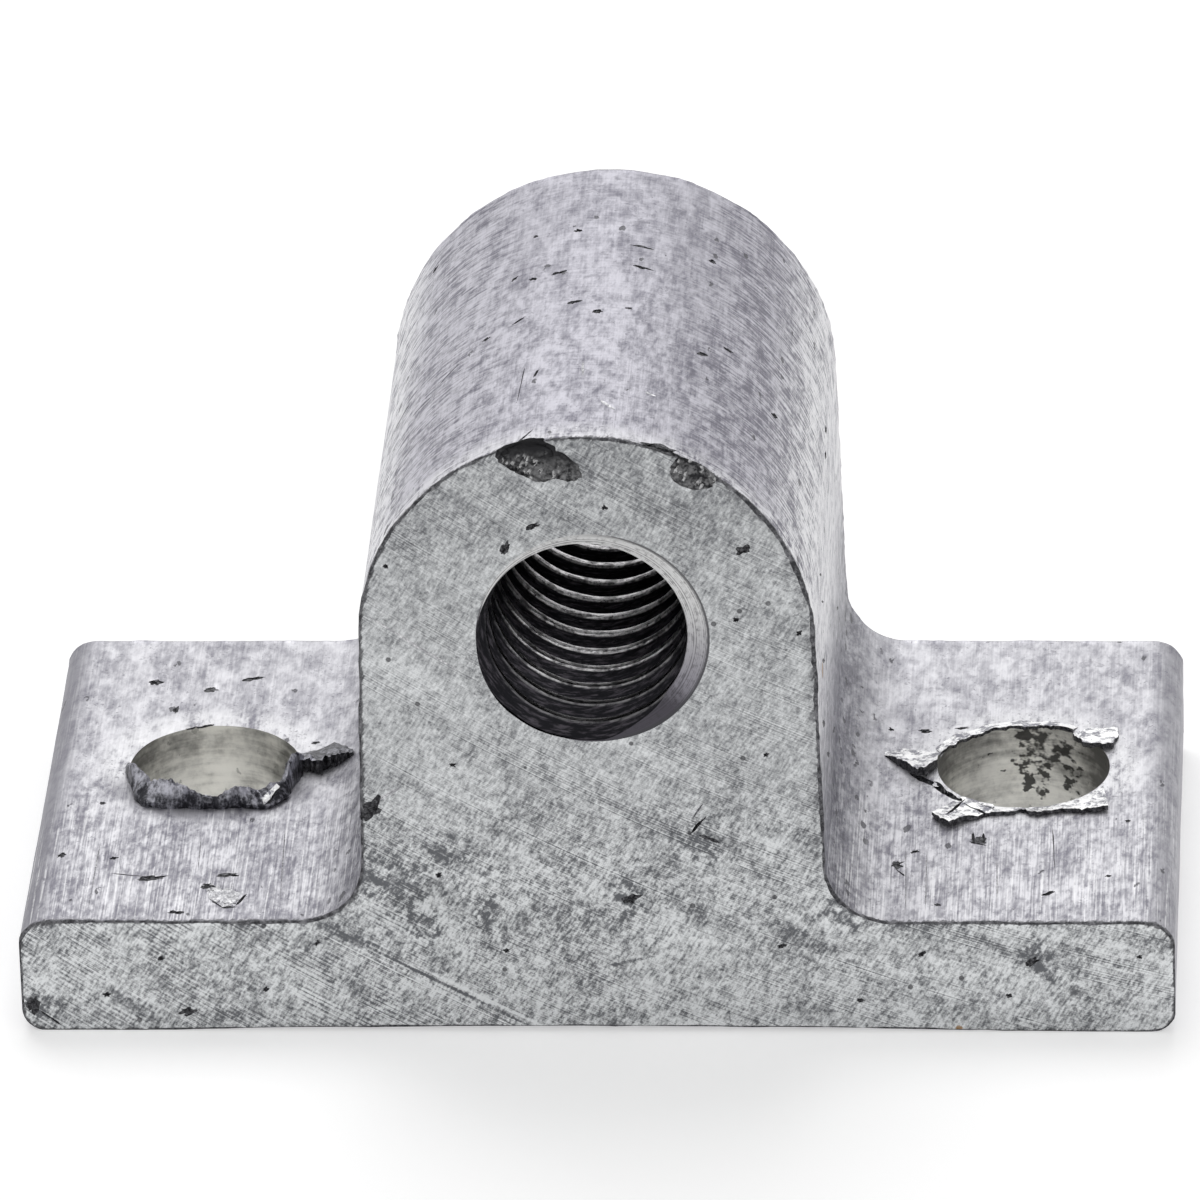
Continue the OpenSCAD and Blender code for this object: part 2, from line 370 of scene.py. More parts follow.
def skinLight(colour, look, lit):
    # Dull ends and front corners, a painted highlight on the upper walls, and a bright front rim of the arch
    x, y, z, wide = look.x, look.y, look.z, look.wide
    ends = step(x, -18.1, -19.2) * 0.77 + step(x, 18.1, 19.2) * 0.50
    colour = blend(ends, colour, skin["blot"])
    corners = (step(wide, 9.6, 8.3) * step(y, -7.6, -9.8) * step(z, 7.5, 5.5)
               * step(look.mottle + swing(look.fibres, 0.6), 0.62, 0.38))
    colour = blend(corners * 0.7, colour, skin["blot"])
    upperWalls = step(wide, 5.6, 7.4) * step(z, 6.5, 13.0) * step(lit, 0.12, 0.8)
    colour = blend(upperWalls * 0.8, colour, skin["shine"])
    rim = look.onArch * step(y + swing(look.blotches, 1.5), -8.7, -9.9) * step(lit, 0.1, 0.6)
    return blend(rim * 0.4, colour, skin["shine"])


def skinDirtAndShade(colour, look, lit):
    # The lower walls are painted darker as painted shade, streaked along a line that falls towards the back
    place, z = look.place, look.z
    grimeAndShadeStreaks = step(grain(stretched(turned(place, (28, 0, 0)), (1, 0.3, 1)), 0.32, 4.0, 0.75), 0.62, 0.40)
    lowWallShade = step(z, 4.22, 5.2) * step(z, 12.0, 6.0)
    colour = blend(lowWallShade * (0.45 + grimeAndShadeStreaks * 0.55), colour, skin["wallShade"], "MULTIPLY")
    blots = step(grain(place, 0.8, 4.0, 0.7), 0.42, 0.30)
    colour = blend(blots * 0.5, colour, skin["blot"])
    # Brighter near the holes, and a painted shadow beneath the left hole's collar
    fromLeft = distance(place, (*drilled["left"], bar["footThickness"]))
    fromRight = distance(place, (*drilled["right"], bar["footThickness"]))
    nearHole = step(z.maths("MINIMUM", fromLeft, fromRight) + swing(look.blotches, 1.2), 4.6, 3.4)
    colour = blend(nearHole * step(lit, 0.1, 0.6) * 0.45, colour, skin["shine"])
    collarShadow = step(fromLeft + swing(look.mottle, 0.5), 4.35, 3.6) * step(look.y, 0.6, -1.2)
    colour = blend(collarShadow * 0.65, colour, skin["blot"])
    pepper = step(grain(place, 0.13, 2.0, 0.6), 0.40, 0.31) * step(look.patches, 0.6, 0.45)
    return blend(pepper * 0.65, colour, skin["blot"])


def skinMarks(colour, look, dots):
    # Drawn lines on the foot, specks, a frayed dark front edge painted as the shadow of its burr, and one
    # orange speck
    place = look.place
    drawn = grain(stretched(place, (1, 0.012, 1)), 0.06, 0.0)
    drawnShow = look.onFoot * (0.12 + look.front * 0.38) * step(look.mottle, 0.30, 0.55)
    colour = blend(step(drawn, 0.60, 0.72) * drawnShow, colour, skin["shine"])
    colour = blend(step(drawn, 0.38, 0.28) * drawnShow * 0.7, colour, skin["blot"])
    colour = blend(dots * 0.85, colour, skin["speck"])
    hairs = grain(stretched(turned(place, (0, 0, 18)), (1, 0.12, 1)), 0.08, 1.0)
    wall = step(look.z, 4.9, 5.5) * step(look.z, 14.0, 10.5)
    beyond = swing(hairs, 0.4) + swing(look.mottle, 0.5) - look.y
    colour = blend(step(beyond, 9.99, 10.10) * (1 - wall) * 0.8, colour, skin["speck"])
    rust = distance(place, skin["rust"]) + swing(look.mottle, 0.2)
    return blend(step(rust, 0.34, 0.2) * 0.8, colour, skin["rustColour"])


def skinFinish():
    material, place = startFinish("extrudedSkin")
    look = skinLook(place)
    lit = skinTone(look)
    colour = blend(step(lit, 0.0, 1.0), skin["dark"], skin["light"])
    colour = blend(look.onArch * 0.8, colour, skin["archShade"], "MULTIPLY")
    colour = skinLight(colour, look, lit)
    colour = skinDirtAndShade(colour, look, lit)
    ragged = shaken(look.along, look.mottle, 0.5)
    root = step(look.z, 4.3, 4.5) * step(look.z, 6.8, 6.2)
    dots = specks(ragged, 0.8, 0.12, 0.4, 1.7) + specks(ragged, 0.5, 0.14, 0.4, 4.4) * root
    colour = skinMarks(colour, look, dots)
    height = (look.mottle * 0.5 + look.fibres * 0.35 + look.blotches * 0.3 + look.patches * 0.4
              + look.lines * (0.2 + look.front * 0.3) + look.rubbed * look.onArch * 0.4 - dots * 0.6)
    roughness = skin["roughness"] + swing(look.mottle, 0.25)
    endFinish(place, colour, roughness, skin["metallic"], height, skin["relief"])
    return material


# The tapped hole and its countersinks

bore = {
    "crestDull": (0.22, 0.215, 0.23, 1), "crestBright": (0.95, 0.94, 0.95, 1),
    "grooveBlack": (0.012, 0.012, 0.014, 1), "grooveDark": (0.06, 0.055, 0.064, 1),
    "coneDull": (0.24, 0.232, 0.262, 1), "coneBright": (0.62, 0.62, 0.62, 1),
    "coneShade": (0.070, 0.065, 0.078, 1), "ring": (0.05, 0.048, 0.053, 1), "rim": (0.06, 0.06, 0.065, 1),
    "crestRadius": (3.46, 3.41), "rimRadius": 3.75,
}


def fromAxis(place, shift=0.0):
    # Distance from the tapped hole's axis
    return distance(stretched(place, (1, 0, 1)), (shift, 0, tapped["height"]))


def threadFinish():
    # Only the crests of the thread are bright, a painted highlight, and only in the middle and further in;
    # the grooves and the front are painted dark as shade
    material, place = startFinish("cutThread")
    x, y = axes(place, "XY")
    lit = (0.10 + step(y, -9.2, -4.5) * 0.9) * (0.12 + step(x.maths("ABSOLUTE", x), 3.2, 2.2) * 0.88)
    crest = step(fromAxis(place), *bore["crestRadius"]) * lit
    rings = grain(stretched(place, (1, 10, 1)), 0.6, 3.0, 0.7)
    rough = grain(place, 0.16, 2.0, 0.7)
    breaks = step(grain(place, 0.5, 2.0, 0.6), 0.36, 0.50)
    bright = blend(step(rings + swing(rough, 0.8), 0.25, 0.65), bore["crestDull"], bore["crestBright"])
    groove = blend(step(rings, 0.45, 0.7), bore["grooveBlack"], bore["grooveDark"])
    colour = blend(crest * (0.25 + breaks * 0.75), groove, bright)
    endFinish(place, colour, 0.32 + swing(rough, 0.3), 1.0, rings * 0.5 + rough * 0.6, 0.02)
    return material


def sinkFinish():
    # The cone is brighter above and at the right, and painted dark below as shade
    material, place = startFinish("countersink")
    x, z = axes(place, "XZ")
    rings = ripple(fromAxis(place), 0.05, 2.0)
    rough = grain(place, 0.2, 3.0, 0.65)
    colour = blend(step(z, 13.0, 17.0), bore["coneDull"], bore["coneBright"])
    colour = blend(step(z + x * 0.49 + swing(rough, 1.0), 13.6, 15.2), bore["coneShade"], colour)
    colour = blend(step(rings + swing(rough, 0.8), 0.52, 0.30) * 0.6, colour, bore["ring"])
    rim = fromAxis(place, tapped["sinkShift"]) + swing(rough, 0.14)
    rimShow = step(rim, bore["rimRadius"], bore["rimRadius"] + 0.1) * step(x, -1.0, 2.0)
    colour = blend(rimShow * 0.85, colour, bore["rim"])
    endFinish(place, colour, 0.35 + swing(rough, 0.3), 0.9, rings, 0.012)
    return material


# The drilled walls and the metal torn up, folded or broken round them

torn = {
    "wallDull": (0.16, 0.157, 0.15, 1), "wallBright": (0.96, 0.95, 0.90, 1),
    "stain": (0.016, 0.015, 0.014, 1),
    "tornDark": (0.028, 0.028, 0.034, 1), "tornLight": (0.50, 0.50, 0.555, 1),
    "lipDark": (0.22, 0.22, 0.255, 1), "lipLight": (1.0, 1.0, 1.0, 1),
    "dentBlack": (0.010, 0.010, 0.012, 1), "dentDark": (0.22, 0.22, 0.225, 1),
    "crumb": (0.56, 0.56, 0.565, 1),
    # Dark stains on the far wall of the right hole: across, height, radius
    "stains": [(14.1, 3.8, 0.42), (14.7, 3.8, 0.55), (15.35, 3.6, 0.50), (14.2, 3.2, 0.40),
               (15.1, 3.1, 0.50), (15.6, 2.75, 0.36), (14.1, 2.6, 0.28), (14.65, 2.8, 0.34),
               (15.05, 2.45, 0.30), (15.6, 2.2, 0.30), (14.25, 2.0, 0.24), (14.9, 1.85, 0.28),
               (13.25, 3.1, 0.05)],
}


def drilledFinish():
    # Faint rings from the drill, painted shade towards the sides of each hole, darker near the top and at the
    # right end, and dark stains in the right hole
    material, place = startFinish("drilledWall")
    rings = grain(stretched(place, (0.35, 0.35, 3.5)), 1.0, 4.0, 0.6)
    rough = grain(place, 0.2, 3.0, 0.6)
    soft = grain(place, 1.1, 2.0, 0.5)
    x, z = axes(place, "XZ")
    fromLeft = x.maths("ABSOLUTE", x - drilled["left"][0])
    fromRight = x.maths("ABSOLUTE", x - drilled["right"][0])
    sideShade = step(x.maths("MINIMUM", fromLeft, fromRight), 1.6, 2.9)
    tone = (0.80 + swing(rings, 1.1) + swing(rough, 0.6) + swing(soft, 1.3) - sideShade * 0.45
            - step(z, 2.4, 3.8) * 0.16 - step(x, 16.0, 16.7) * 0.35)
    colour = blend(step(tone, 0.0, 1.1), torn["wallDull"], torn["wallBright"])
    flat = stretched(place, (1, 0, 1))
    ragged = swing(grain(stretched(place, (0.8, 0.8, 1.1)), 0.34, 2.0, 0.6), 2.6)
    dark = step(grain(place, 0.5, 3.0, 0.7), 0.36, 0.30) * 0.4
    for across, up, size in torn["stains"]:
        stain = step(distance(flat, (across, 0, up)) + ragged, size * 1.1, size * 0.2)
        dark = dark.maths("MAXIMUM", dark, stain * 0.92)
    colour = blend(dark, colour, torn["stain"])
    endFinish(place, colour, 0.4 + swing(rough, 0.3), 0.6, rings * 0.7 + rough * 0.3, 0.02)
    return material


def tornFinish():
    # Torn faces are dark, partly as painted shade on sides that face down, with upward smears and lighter
    # crests as painted highlights
    material, place = startFinish("tornMetal")
    z = axes(place, "Z")[0]
    smears = grain(stretched(place, (1, 1, 0.35)), 0.22, 3.0, 0.65)
    rough = grain(place, 0.5, 2.0, 0.6)
    fine = grain(place, 0.13, 2.0, 0.7)
    tone = 0.18 + swing(smears, 1.6) + swing(rough, 1.1) + swing(fine, 0.9) + step(z, 4.55, 4.9) * 0.28
    colour = blend(step(tone, 0.0, 0.9), torn["tornDark"], torn["tornLight"])
    endFinish(place, colour, 0.36 + swing(rough, 0.4), 0.8, smears, 0.05)
    return material


def lipFinish():
    # Folded lips where the metal was laid bare
    material, place = startFinish("brightLip")
    rough = grain(place, 0.22, 3.0, 0.7)
    fine = grain(place, 0.09, 2.0, 0.7)
    # The large grey patches are painted shade on the lips' folds
    folds = grain(place, 0.55, 2.0, 0.5)
    tone = rough + swing(fine, 0.6) + swing(folds, 1.1)
    colour = blend(step(tone, 0.30, 0.60), torn["lipDark"], torn["lipLight"])
    endFinish(place, colour, 0.40 + swing(rough, 0.3), 0.7, rough + fine * 0.4, 0.06)
    return material


def dentFinish():
    # Black in the upper depth of a dent as painted shade, lighter below, with a few bright crumbs in the
    # lower part
    material, place = startFinish("dents")
    x, z = axes(place, "XZ")
    soft = grain(place, 0.6, 3.0, 0.6)
    fine = grain(place, 0.16, 2.0, 0.6)
    light = step(z + swing(soft, 1.4), 22.0, 21.0) * step(fine + swing(soft, 0.6), 0.3, 0.7)
    colour = blend(light, torn["dentBlack"], torn["dentDark"])
    leaning = stretched(turned(place, (0, -20, 0)), (1.4, 1.0, 0.75))
    clear = step(x, -0.95, -0.6) * step(x, 2.0, 1.8)
    crumbs = (specks(shaken(leaning, fine, 0.3), 0.22, 0.105, 0.65, 2.2)
              * step(z + swing(soft, 1.2), 21.8, 21.4) * (1 - clear))
    colour = blend(crumbs * (0.25 + step(fine, 0.35, 0.6) * 0.7), colour, torn["crumb"])
    endFinish(place, colour, 0.45 + swing(soft, 0.3), 0.6, soft + crumbs * 0.5, 0.04)
    return material


def plainFinish(name, dark, light, size):
    # Edges, pits and scratches: one noise between two greys
    material, place = startFinish(name)
    rough = grain(place, size, 4.0, 0.75)
    colour = blend(step(rough, 0.38, 0.72), dark, light)
    endFinish(place, colour, 0.45 + swing(rough, 0.3), 0.7, rough, 0.04)
    return material


# The edge strips are dark as dirt and as painted shade in the burred edge
edgeFinish = plainFinish("sawnEdge", (0.03, 0.03, 0.034, 1), (0.22, 0.22, 0.235, 1), 0.25)
# Pits are dark with dirt; the same near-black is painted shadow under the leaves and in their cracks
pitAndShadowFinish = plainFinish("pits", (0.012, 0.012, 0.015, 1), (0.17, 0.17, 0.18, 1), 0.12)
scratchFinish = plainFinish("scratches", (0.30, 0.30, 0.32, 1), (0.86, 0.86, 0.87, 1), 0.15)
finishes = [skinFinish(), sawnFinish(), threadFinish(), sinkFinish(), drilledFinish(), tornFinish(),
            edgeFinish, pitAndShadowFinish, dentFinish(), lipFinish(), scratchFinish]
(onSkin, onSawn, onThread, onSink, onDrilled, onTorn,
 onEdge, onPitAndShadow, onDent, onLip, onScratch) = range(len(finishes))
print("finishes made")


# Mesh tools

def makeObject(name, points, faces, zones):
    mesh = bpy.data.meshes.new(name)
    mesh.from_pydata(points, [], faces)
    zones = zones if isinstance(zones, list) else [zones] * len(faces)
    mesh.polygons.foreach_set("material_index", zones)
    shape = bmesh.new()
    shape.from_mesh(mesh)
    bmesh.ops.recalc_face_normals(shape, faces=shape.faces)
    shape.to_mesh(mesh)
    shape.free()
    for finish in finishes:
        mesh.materials.append(finish)
    made = bpy.data.objects.new(name, mesh)
    scene.collection.objects.link(made)
    return made


def combine(target, tool, operation):
    change = target.modifiers.new("combine", "BOOLEAN")
    change.object = tool
    change.operation = operation
    change.solver = "MANIFOLD"
    bpy.context.view_layer.objects.active = target
    bpy.ops.object.modifier_apply(modifier=change.name)
    used = tool.data
    bpy.data.objects.remove(tool)
    bpy.data.meshes.remove(used)


def wave(*place):
    # Smooth noise around 0 at a place in millimetres
    return noise.noise(Vector(place))


def between(value, table):
    # Straight-line reading of a table of (key, value, value...) rows
    for low, high in zip(table, table[1:]):
        if value <= high[0]:
            share = max(0.0, (value - low[0]) / (high[0] - low[0]))
            return [a + (b - a) * share for a, b in zip(low[1:], high[1:])]
    return list(table[-1][1:])


def ringFaces(rings, count, closed=True):
    # Quads between rings of the same number of points
    faces = []
    for r in range(rings - 1):
        for i in range(count if closed else count - 1):
            j = (i + 1) % count
            faces.append((r * count + i, r * count + j, (r + 1) * count + j, (r + 1) * count + i))
    return faces


# The sawn slice of bar

def arcPoints(centre, radius, start, end, spacing):
    count = max(2, round(abs(math.radians(end - start)) * radius / spacing))
    angles = [math.radians(start + (end - start) * i / count) for i in range(count)]
    return [(centre[0] + radius * math.cos(a), centre[1] + radius * math.sin(a)) for a in angles]


def linePoints(start, end, spacing):
    count = max(1, round(math.dist(start, end) / spacing))
    return [(start[0] + (end[0] - start[0]) * i / count, start[1] + (end[1] - start[1]) * i / count)
            for i in range(count)]


def barOutline():
    # From the middle of the underside up the right side to the top, then the same on the left
    b = bar
    half, top, fine, coarse = b["footWidth"] / 2, b["footThickness"], b["fineStep"], b["coarseStep"]
    draft = math.radians(b["sideDraft"])
    hollow = ((b["hollowWidth"] / 2) ** 2 + b["hollowDepth"] ** 2) / (2 * b["hollowDepth"])
    rootZ = top + b["rootRadius"]
    sideX = (b["archRadius"] - (rootZ - b["archHeight"]) * math.sin(draft)) / math.cos(draft)
    root = (sideX + b["rootRadius"] / math.cos(draft), rootZ)
    meet = (root[0] - b["rootRadius"] * math.cos(draft), rootZ - b["rootRadius"] * math.sin(draft))
    spring = (b["archRadius"] * math.cos(draft), b["archHeight"] + b["archRadius"] * math.sin(draft))
    hollowEnd = math.degrees(math.asin((hollow - b["hollowDepth"]) / hollow))
    low, high = b["footLowRadius"], b["footTopRadius"]
    right = (
        arcPoints((0, b["hollowDepth"] - hollow), hollow, 90, hollowEnd, coarse)
        + linePoints((b["hollowWidth"] / 2, 0), (half - low, 0), coarse)
        + arcPoints((half - low, low), low, -90, 0, fine)
        + linePoints((half, low), (half, top - high), fine)
        + arcPoints((half - high, top - high), high, 0, 90, fine)
        + linePoints((half - high, top), (root[0], top), fine)
        + arcPoints(root, b["rootRadius"], 270, 180 + b["sideDraft"], fine)
        + linePoints(meet, spring, fine)
        + arcPoints((0, b["archHeight"]), b["archRadius"], b["sideDraft"], 90, fine)
    )
    left = [(-x, z) for x, z in reversed(right[1:])]
    return right + [(0, b["archHeight"] + b["archRadius"])] + left


def outlineNormals(points):
    normals = []
    for i, (x, z) in enumerate(points):
        before, after = points[i - 1], points[(i + 1) % len(points)]
        across = Vector((after[1] - before[1], before[0] - after[0]))
        normals.append(across.normalized())
    return normals


def edgeLift(along, side, depth):
    # How far the metal beside a sawn face stands out: broken at the very edge, a low burr behind it
    broad, fine = wave(along * 0.9, side * 7.3, 2.1), wave(along * 4.2, side * 5.7, 8.6)
    burr = max(0.0, 0.35 + 0.9 * broad + 0.7 * fine) * bar["edgeBurr"]
    crest = math.exp(-((depth - bar["burrDepth"]) / bar["burrDepth"]) ** 2)
    return burr * crest - bar["edgeWear"] * math.exp(-(depth / bar["wearDepth"]) ** 2)


def makeBar():
    outline = barOutline()
    normals = outlineNormals(outline)
    along, total = [], 0.0
    for i, point in enumerate(outline):
        total += math.dist(point, outline[i - 1]) if i else 0
        along.append(total)
    faceY = bar["length"] / 2
    edge = bar["edgeRings"]
    inner = faceY - edge[-1]
    count = round(2 * inner / bar["ringStep"])
    stations = ([-faceY + e for e in edge] + [-inner + 2 * inner * i / count for i in range(1, count)]
                + [faceY - e for e in reversed(edge)])
    low, high = [c / mm for c in cadBox[0]], [c / mm for c in cadBox[1]]
    rings = []
    for side in (-1, 1):
        # The sawn face's own border, a little inside the outline
        border = []
        for (x, z), (nx, nz), s in zip(outline, normals, along):
            wide = bar["rightEdge"] if x > 2 and z > 5 else 1.0
            ripple = 0.9 + 0.9 * wave(s * 1.3, side * 4.4, 5.0) + 0.45 * wave(s * 5.1, side, 1.0)
            inset = max(0.02, bar["edgeLine"] * wide * ripple)
            border.append((x - nx * inset, side * faceY, z - nz * inset))
        rings.append(border)
    middle = []
    for y in stations:
        depth, side = faceY - abs(y), math.copysign(1, y)
        ring = []
        for (x, z), (nx, nz), s in zip(outline, normals, along):
            lift = (edgeLift(s, side, depth) + bar["waviness"] * wave(x * 0.5, y * 0.35, z * 0.5)
                    + 0.25 * bar["waviness"] * wave(x * 2.1, y * 1.7, z * 2.1 + 9))
            # No point leaves the box of the solid
            ring.append((min(max(x + nx * lift, low[0]), high[0]), y,
                         min(max(z + nz * lift, low[2]), high[2])))
        middle.append(ring)
    rings = [rings[0]] + middle + [rings[1]]
    size = len(outline)
    points = [p for ring in rings for p in ring]
    faces = ringFaces(len(rings), size)
    zones = []
    for r in range(len(rings) - 1):
        # The strips at the sawn edges take the dark edge finish: dirt, and painted shade in the burred edge
        atEdge = r < 2 or r > len(rings) - 4
        zones += [onEdge if atEdge else onSkin] * size
    faces += [tuple(range(size)), tuple(range(size * (len(rings) - 1), size * len(rings)))]
    zones += [onSawn, onSawn]
    return makeObject("adjusting_block_dressed", points, faces, zones)


# The tapped hole

def threadCutter():
    t = tapped
    flank = (t["pitch"] - t["crest"] - t["root"]) / 2
    profile = [(0, t["drill"]), (t["crest"] / 2, t["drill"] - t["crestWear"]), (t["crest"], t["drill"]),
               (t["crest"] + flank, t["major"]), (t["crest"] + flank + t["root"], t["major"])]
    turns = math.ceil(bar["length"] / t["pitch"]) + 2 * t["overrun"]
    # The groove runs out of the front face at the exit angle
    groove = t["crest"] + flank + t["root"] / 2
    start = -bar["length"] / 2 + t["inset"] - groove - t["pitch"] * (t["exitAngle"] / 360 + t["overrun"])
    rows = [(start + k * t["pitch"] + offset, radius) for k in range(turns) for offset, radius in profile]
    count, per, last = t["segments"], len(profile), len(rows) - 1
    points = []
    for y, radius in rows:
        for i in range(count):
            angle = 2 * math.pi * i / count
            deep = y + t["pitch"] * i / count
            out = radius + t["waver"] * wave(3 * math.cos(angle), 3 * math.sin(angle), deep * 2.0)
            points.append((out * math.sin(angle), deep, t["height"] + out * math.cos(angle)))
    faces = []
    for r in range(last):
        for i in range(count - 1):
            a = r * count + i
            faces.append((a, a + 1, a + count + 1, a + count))
        if r + 1 + per <= last:
            a, b = r * count + count - 1, (r + per) * count
            faces.append((a, b, b + count, a + count))
    firstLoop = list(range(count)) + [r * count for r in range(per, 0, -1)]
    lastLoop = ([last * count + i for i in range(count)]
                + [r * count + count - 1 for r in range(last - 1, last - 1 - per, -1)])
    points += [(0, start - t["pitch"], t["height"]), (0, rows[-1][0] + 2 * t["pitch"], t["height"])]
    for loop, centre in ((firstLoop, len(points) - 2), (lastLoop, len(points) - 1)):
        faces += [(loop[i], loop[(i + 1) % len(loop)], centre) for i in range(len(loop))]
    return makeObject("threadCutter", points, faces, onThread)


def revolved(name, profile, count, place, axis, zone, roughness=0.0):
    # Closed solid of revolution from (radius, height) rows, standing on place along axis
    turn = Vector((0, 0, 1)).rotation_difference(Vector(axis)).to_matrix()
    points = []
    for radius, height in profile:
        for i in range(count):
            angle = 2 * math.pi * i / count
            out = radius + roughness * wave(2 * math.cos(angle), 2 * math.sin(angle), height * 2.5 + place[0])
            local = Vector((out * math.cos(angle), out * math.sin(angle), height))
            points.append(Vector(place) + turn @ local)
    size = len(profile)
    faces = ringFaces(size, count)
    faces += [tuple(range(count)), tuple(range(count * (size - 1), count * size))]
    return makeObject(name, points, faces, zone)


def countersinkCutter(side, shift):
    t = tapped
    depth = (t["sinkRadius"] - t["drill"] + t["sinkOverlap"]) / math.tan(math.radians(t["sinkAngle"] / 2))
    past = 1.0
    wide = t["sinkRadius"] + past * math.tan(math.radians(t["sinkAngle"] / 2))
    profile = [(t["drill"] - t["sinkOverlap"], -depth), (t["sinkRadius"], 0), (wide, past)]
    place = (shift, side * bar["length"] / 2, t["height"])
    return revolved("countersink", profile, t["segments"], place, (0, side, 0), onSink, t["sinkWaver"])


# The two drilled holes and the metal that the drill tore up

def holeCutter(place):
    top = bar["footThickness"] + drilled["above"]
    heights = [-drilled["past"]] + [drilled["ringStep"] * i for i in range(-1, 18)] + [top]
    profile = [(drilled["radius"] + drilled["ripple"] * wave(h * 2.2, place[0], 4), h) for h in heights]
    return revolved("hole", profile, drilled["segments"], (*place, 0), (0, 0, 1), onDrilled,
                    drilled["waver"])


collar = {
    # Angle round the hole in degrees, outer radius at the foot, radius of the crest, height of the crest
    "shape": [
        (-184, 3.00, 3.00, 0.03), (-176, 3.03, 3.02, 0.16), (-168, 3.06, 3.04, 0.42),
        (-160, 3.10, 3.06, 0.68), (-151, 3.16, 3.08, 0.92), (-143, 3.34, 3.10, 0.90),
        (-138, 3.50, 3.12, 0.84), (-135, 3.58, 3.13, 0.86), (-133, 3.62, 3.13, 0.66),
        (-126, 3.70, 3.14, 0.84), (-121, 3.52, 3.12, 0.92), (-115, 3.38, 3.10, 1.00),
        (-110, 3.24, 3.08, 0.87), (-104, 3.14, 3.05, 0.80), (-97, 3.10, 3.02, 0.58),
        (-93, 3.08, 3.01, 0.49), (-84, 3.08, 3.01, 0.41), (-81, 3.09, 3.02, 0.56), (-73, 3.14, 3.04, 0.78),
        (-69, 3.20, 3.06, 0.80), (-65, 3.36, 3.08, 0.70), (-60, 3.60, 3.12, 0.56), (-56, 3.68, 3.14, 0.47),
        (-52, 3.66, 3.16, 0.50), (-47, 3.60, 3.16, 0.60), (-42, 3.52, 3.14, 0.52), (-37, 3.38, 3.12, 0.44),
        (-33, 3.26, 3.10, 0.64), (-30, 3.20, 3.08, 0.98), (-24, 3.14, 3.06, 1.12), (-16, 3.10, 3.04, 1.04),
        (-8, 3.07, 3.02, 0.78), (0, 3.04, 3.01, 0.45), (8, 3.02, 3.00, 0.18), (15, 3.00, 3.00, 0.03),
    ],
    "rooted": 0.3, "step": 1.0, "raggedness": 0.055,
}


def makeCollar():
    cx, cy = drilled["left"]
    top = bar["footThickness"]
    first, last = collar["shape"][0][0], collar["shape"][-1][0]
    count = round((last - first) / collar["step"])
    sections = []
    for i in range(count + 1):
        angle = first + (last - first) * i / count
        footR, crestR, height = between(angle, collar["shape"])
        height *= 1 + 0.1 * wave(angle * 0.45, 3, 1) + 0.05 * wave(angle * 1.3, 7, 1)
        # The section goes up the inside, over the crest and down the outside
        rows = [(2.75, -collar["rooted"]), (2.78, 0.4 * height), (crestR - 0.16, 0.86 * height),
                (crestR - 0.05, height), (crestR + 0.03, 0.93 * height),
                (0.5 * (crestR + footR) + 0.05, 0.6 * height), (footR + 0.03, 0.26 * height),
                (footR, 0.0), (footR - 0.12, -collar["rooted"])]
        a = math.radians(angle)
        section = []
        for k, (radius, z) in enumerate(rows):
            if 2 <= k <= 7:
                ragged = min(1.0, height / 0.4) * collar["raggedness"]
                radius += ragged * 1.5 * wave(angle * 0.14, k * 0.45, 11)
                radius += ragged * 0.5 * wave(angle * 0.6, k * 0.9, 23)
                z += ragged * 0.5 * wave(angle * 0.3, k * 0.8, 37)
            section.append((cx + radius * math.cos(a), cy + radius * math.sin(a), top + z))
        sections.append(section)
    size = len(sections[0])
    points = [p for section in sections for p in section]
    faces = ringFaces(len(sections), size)
    faces += [tuple(range(size)), tuple(range(len(points) - size, len(points)))]
    return makeObject("collar", points, faces, onTorn)


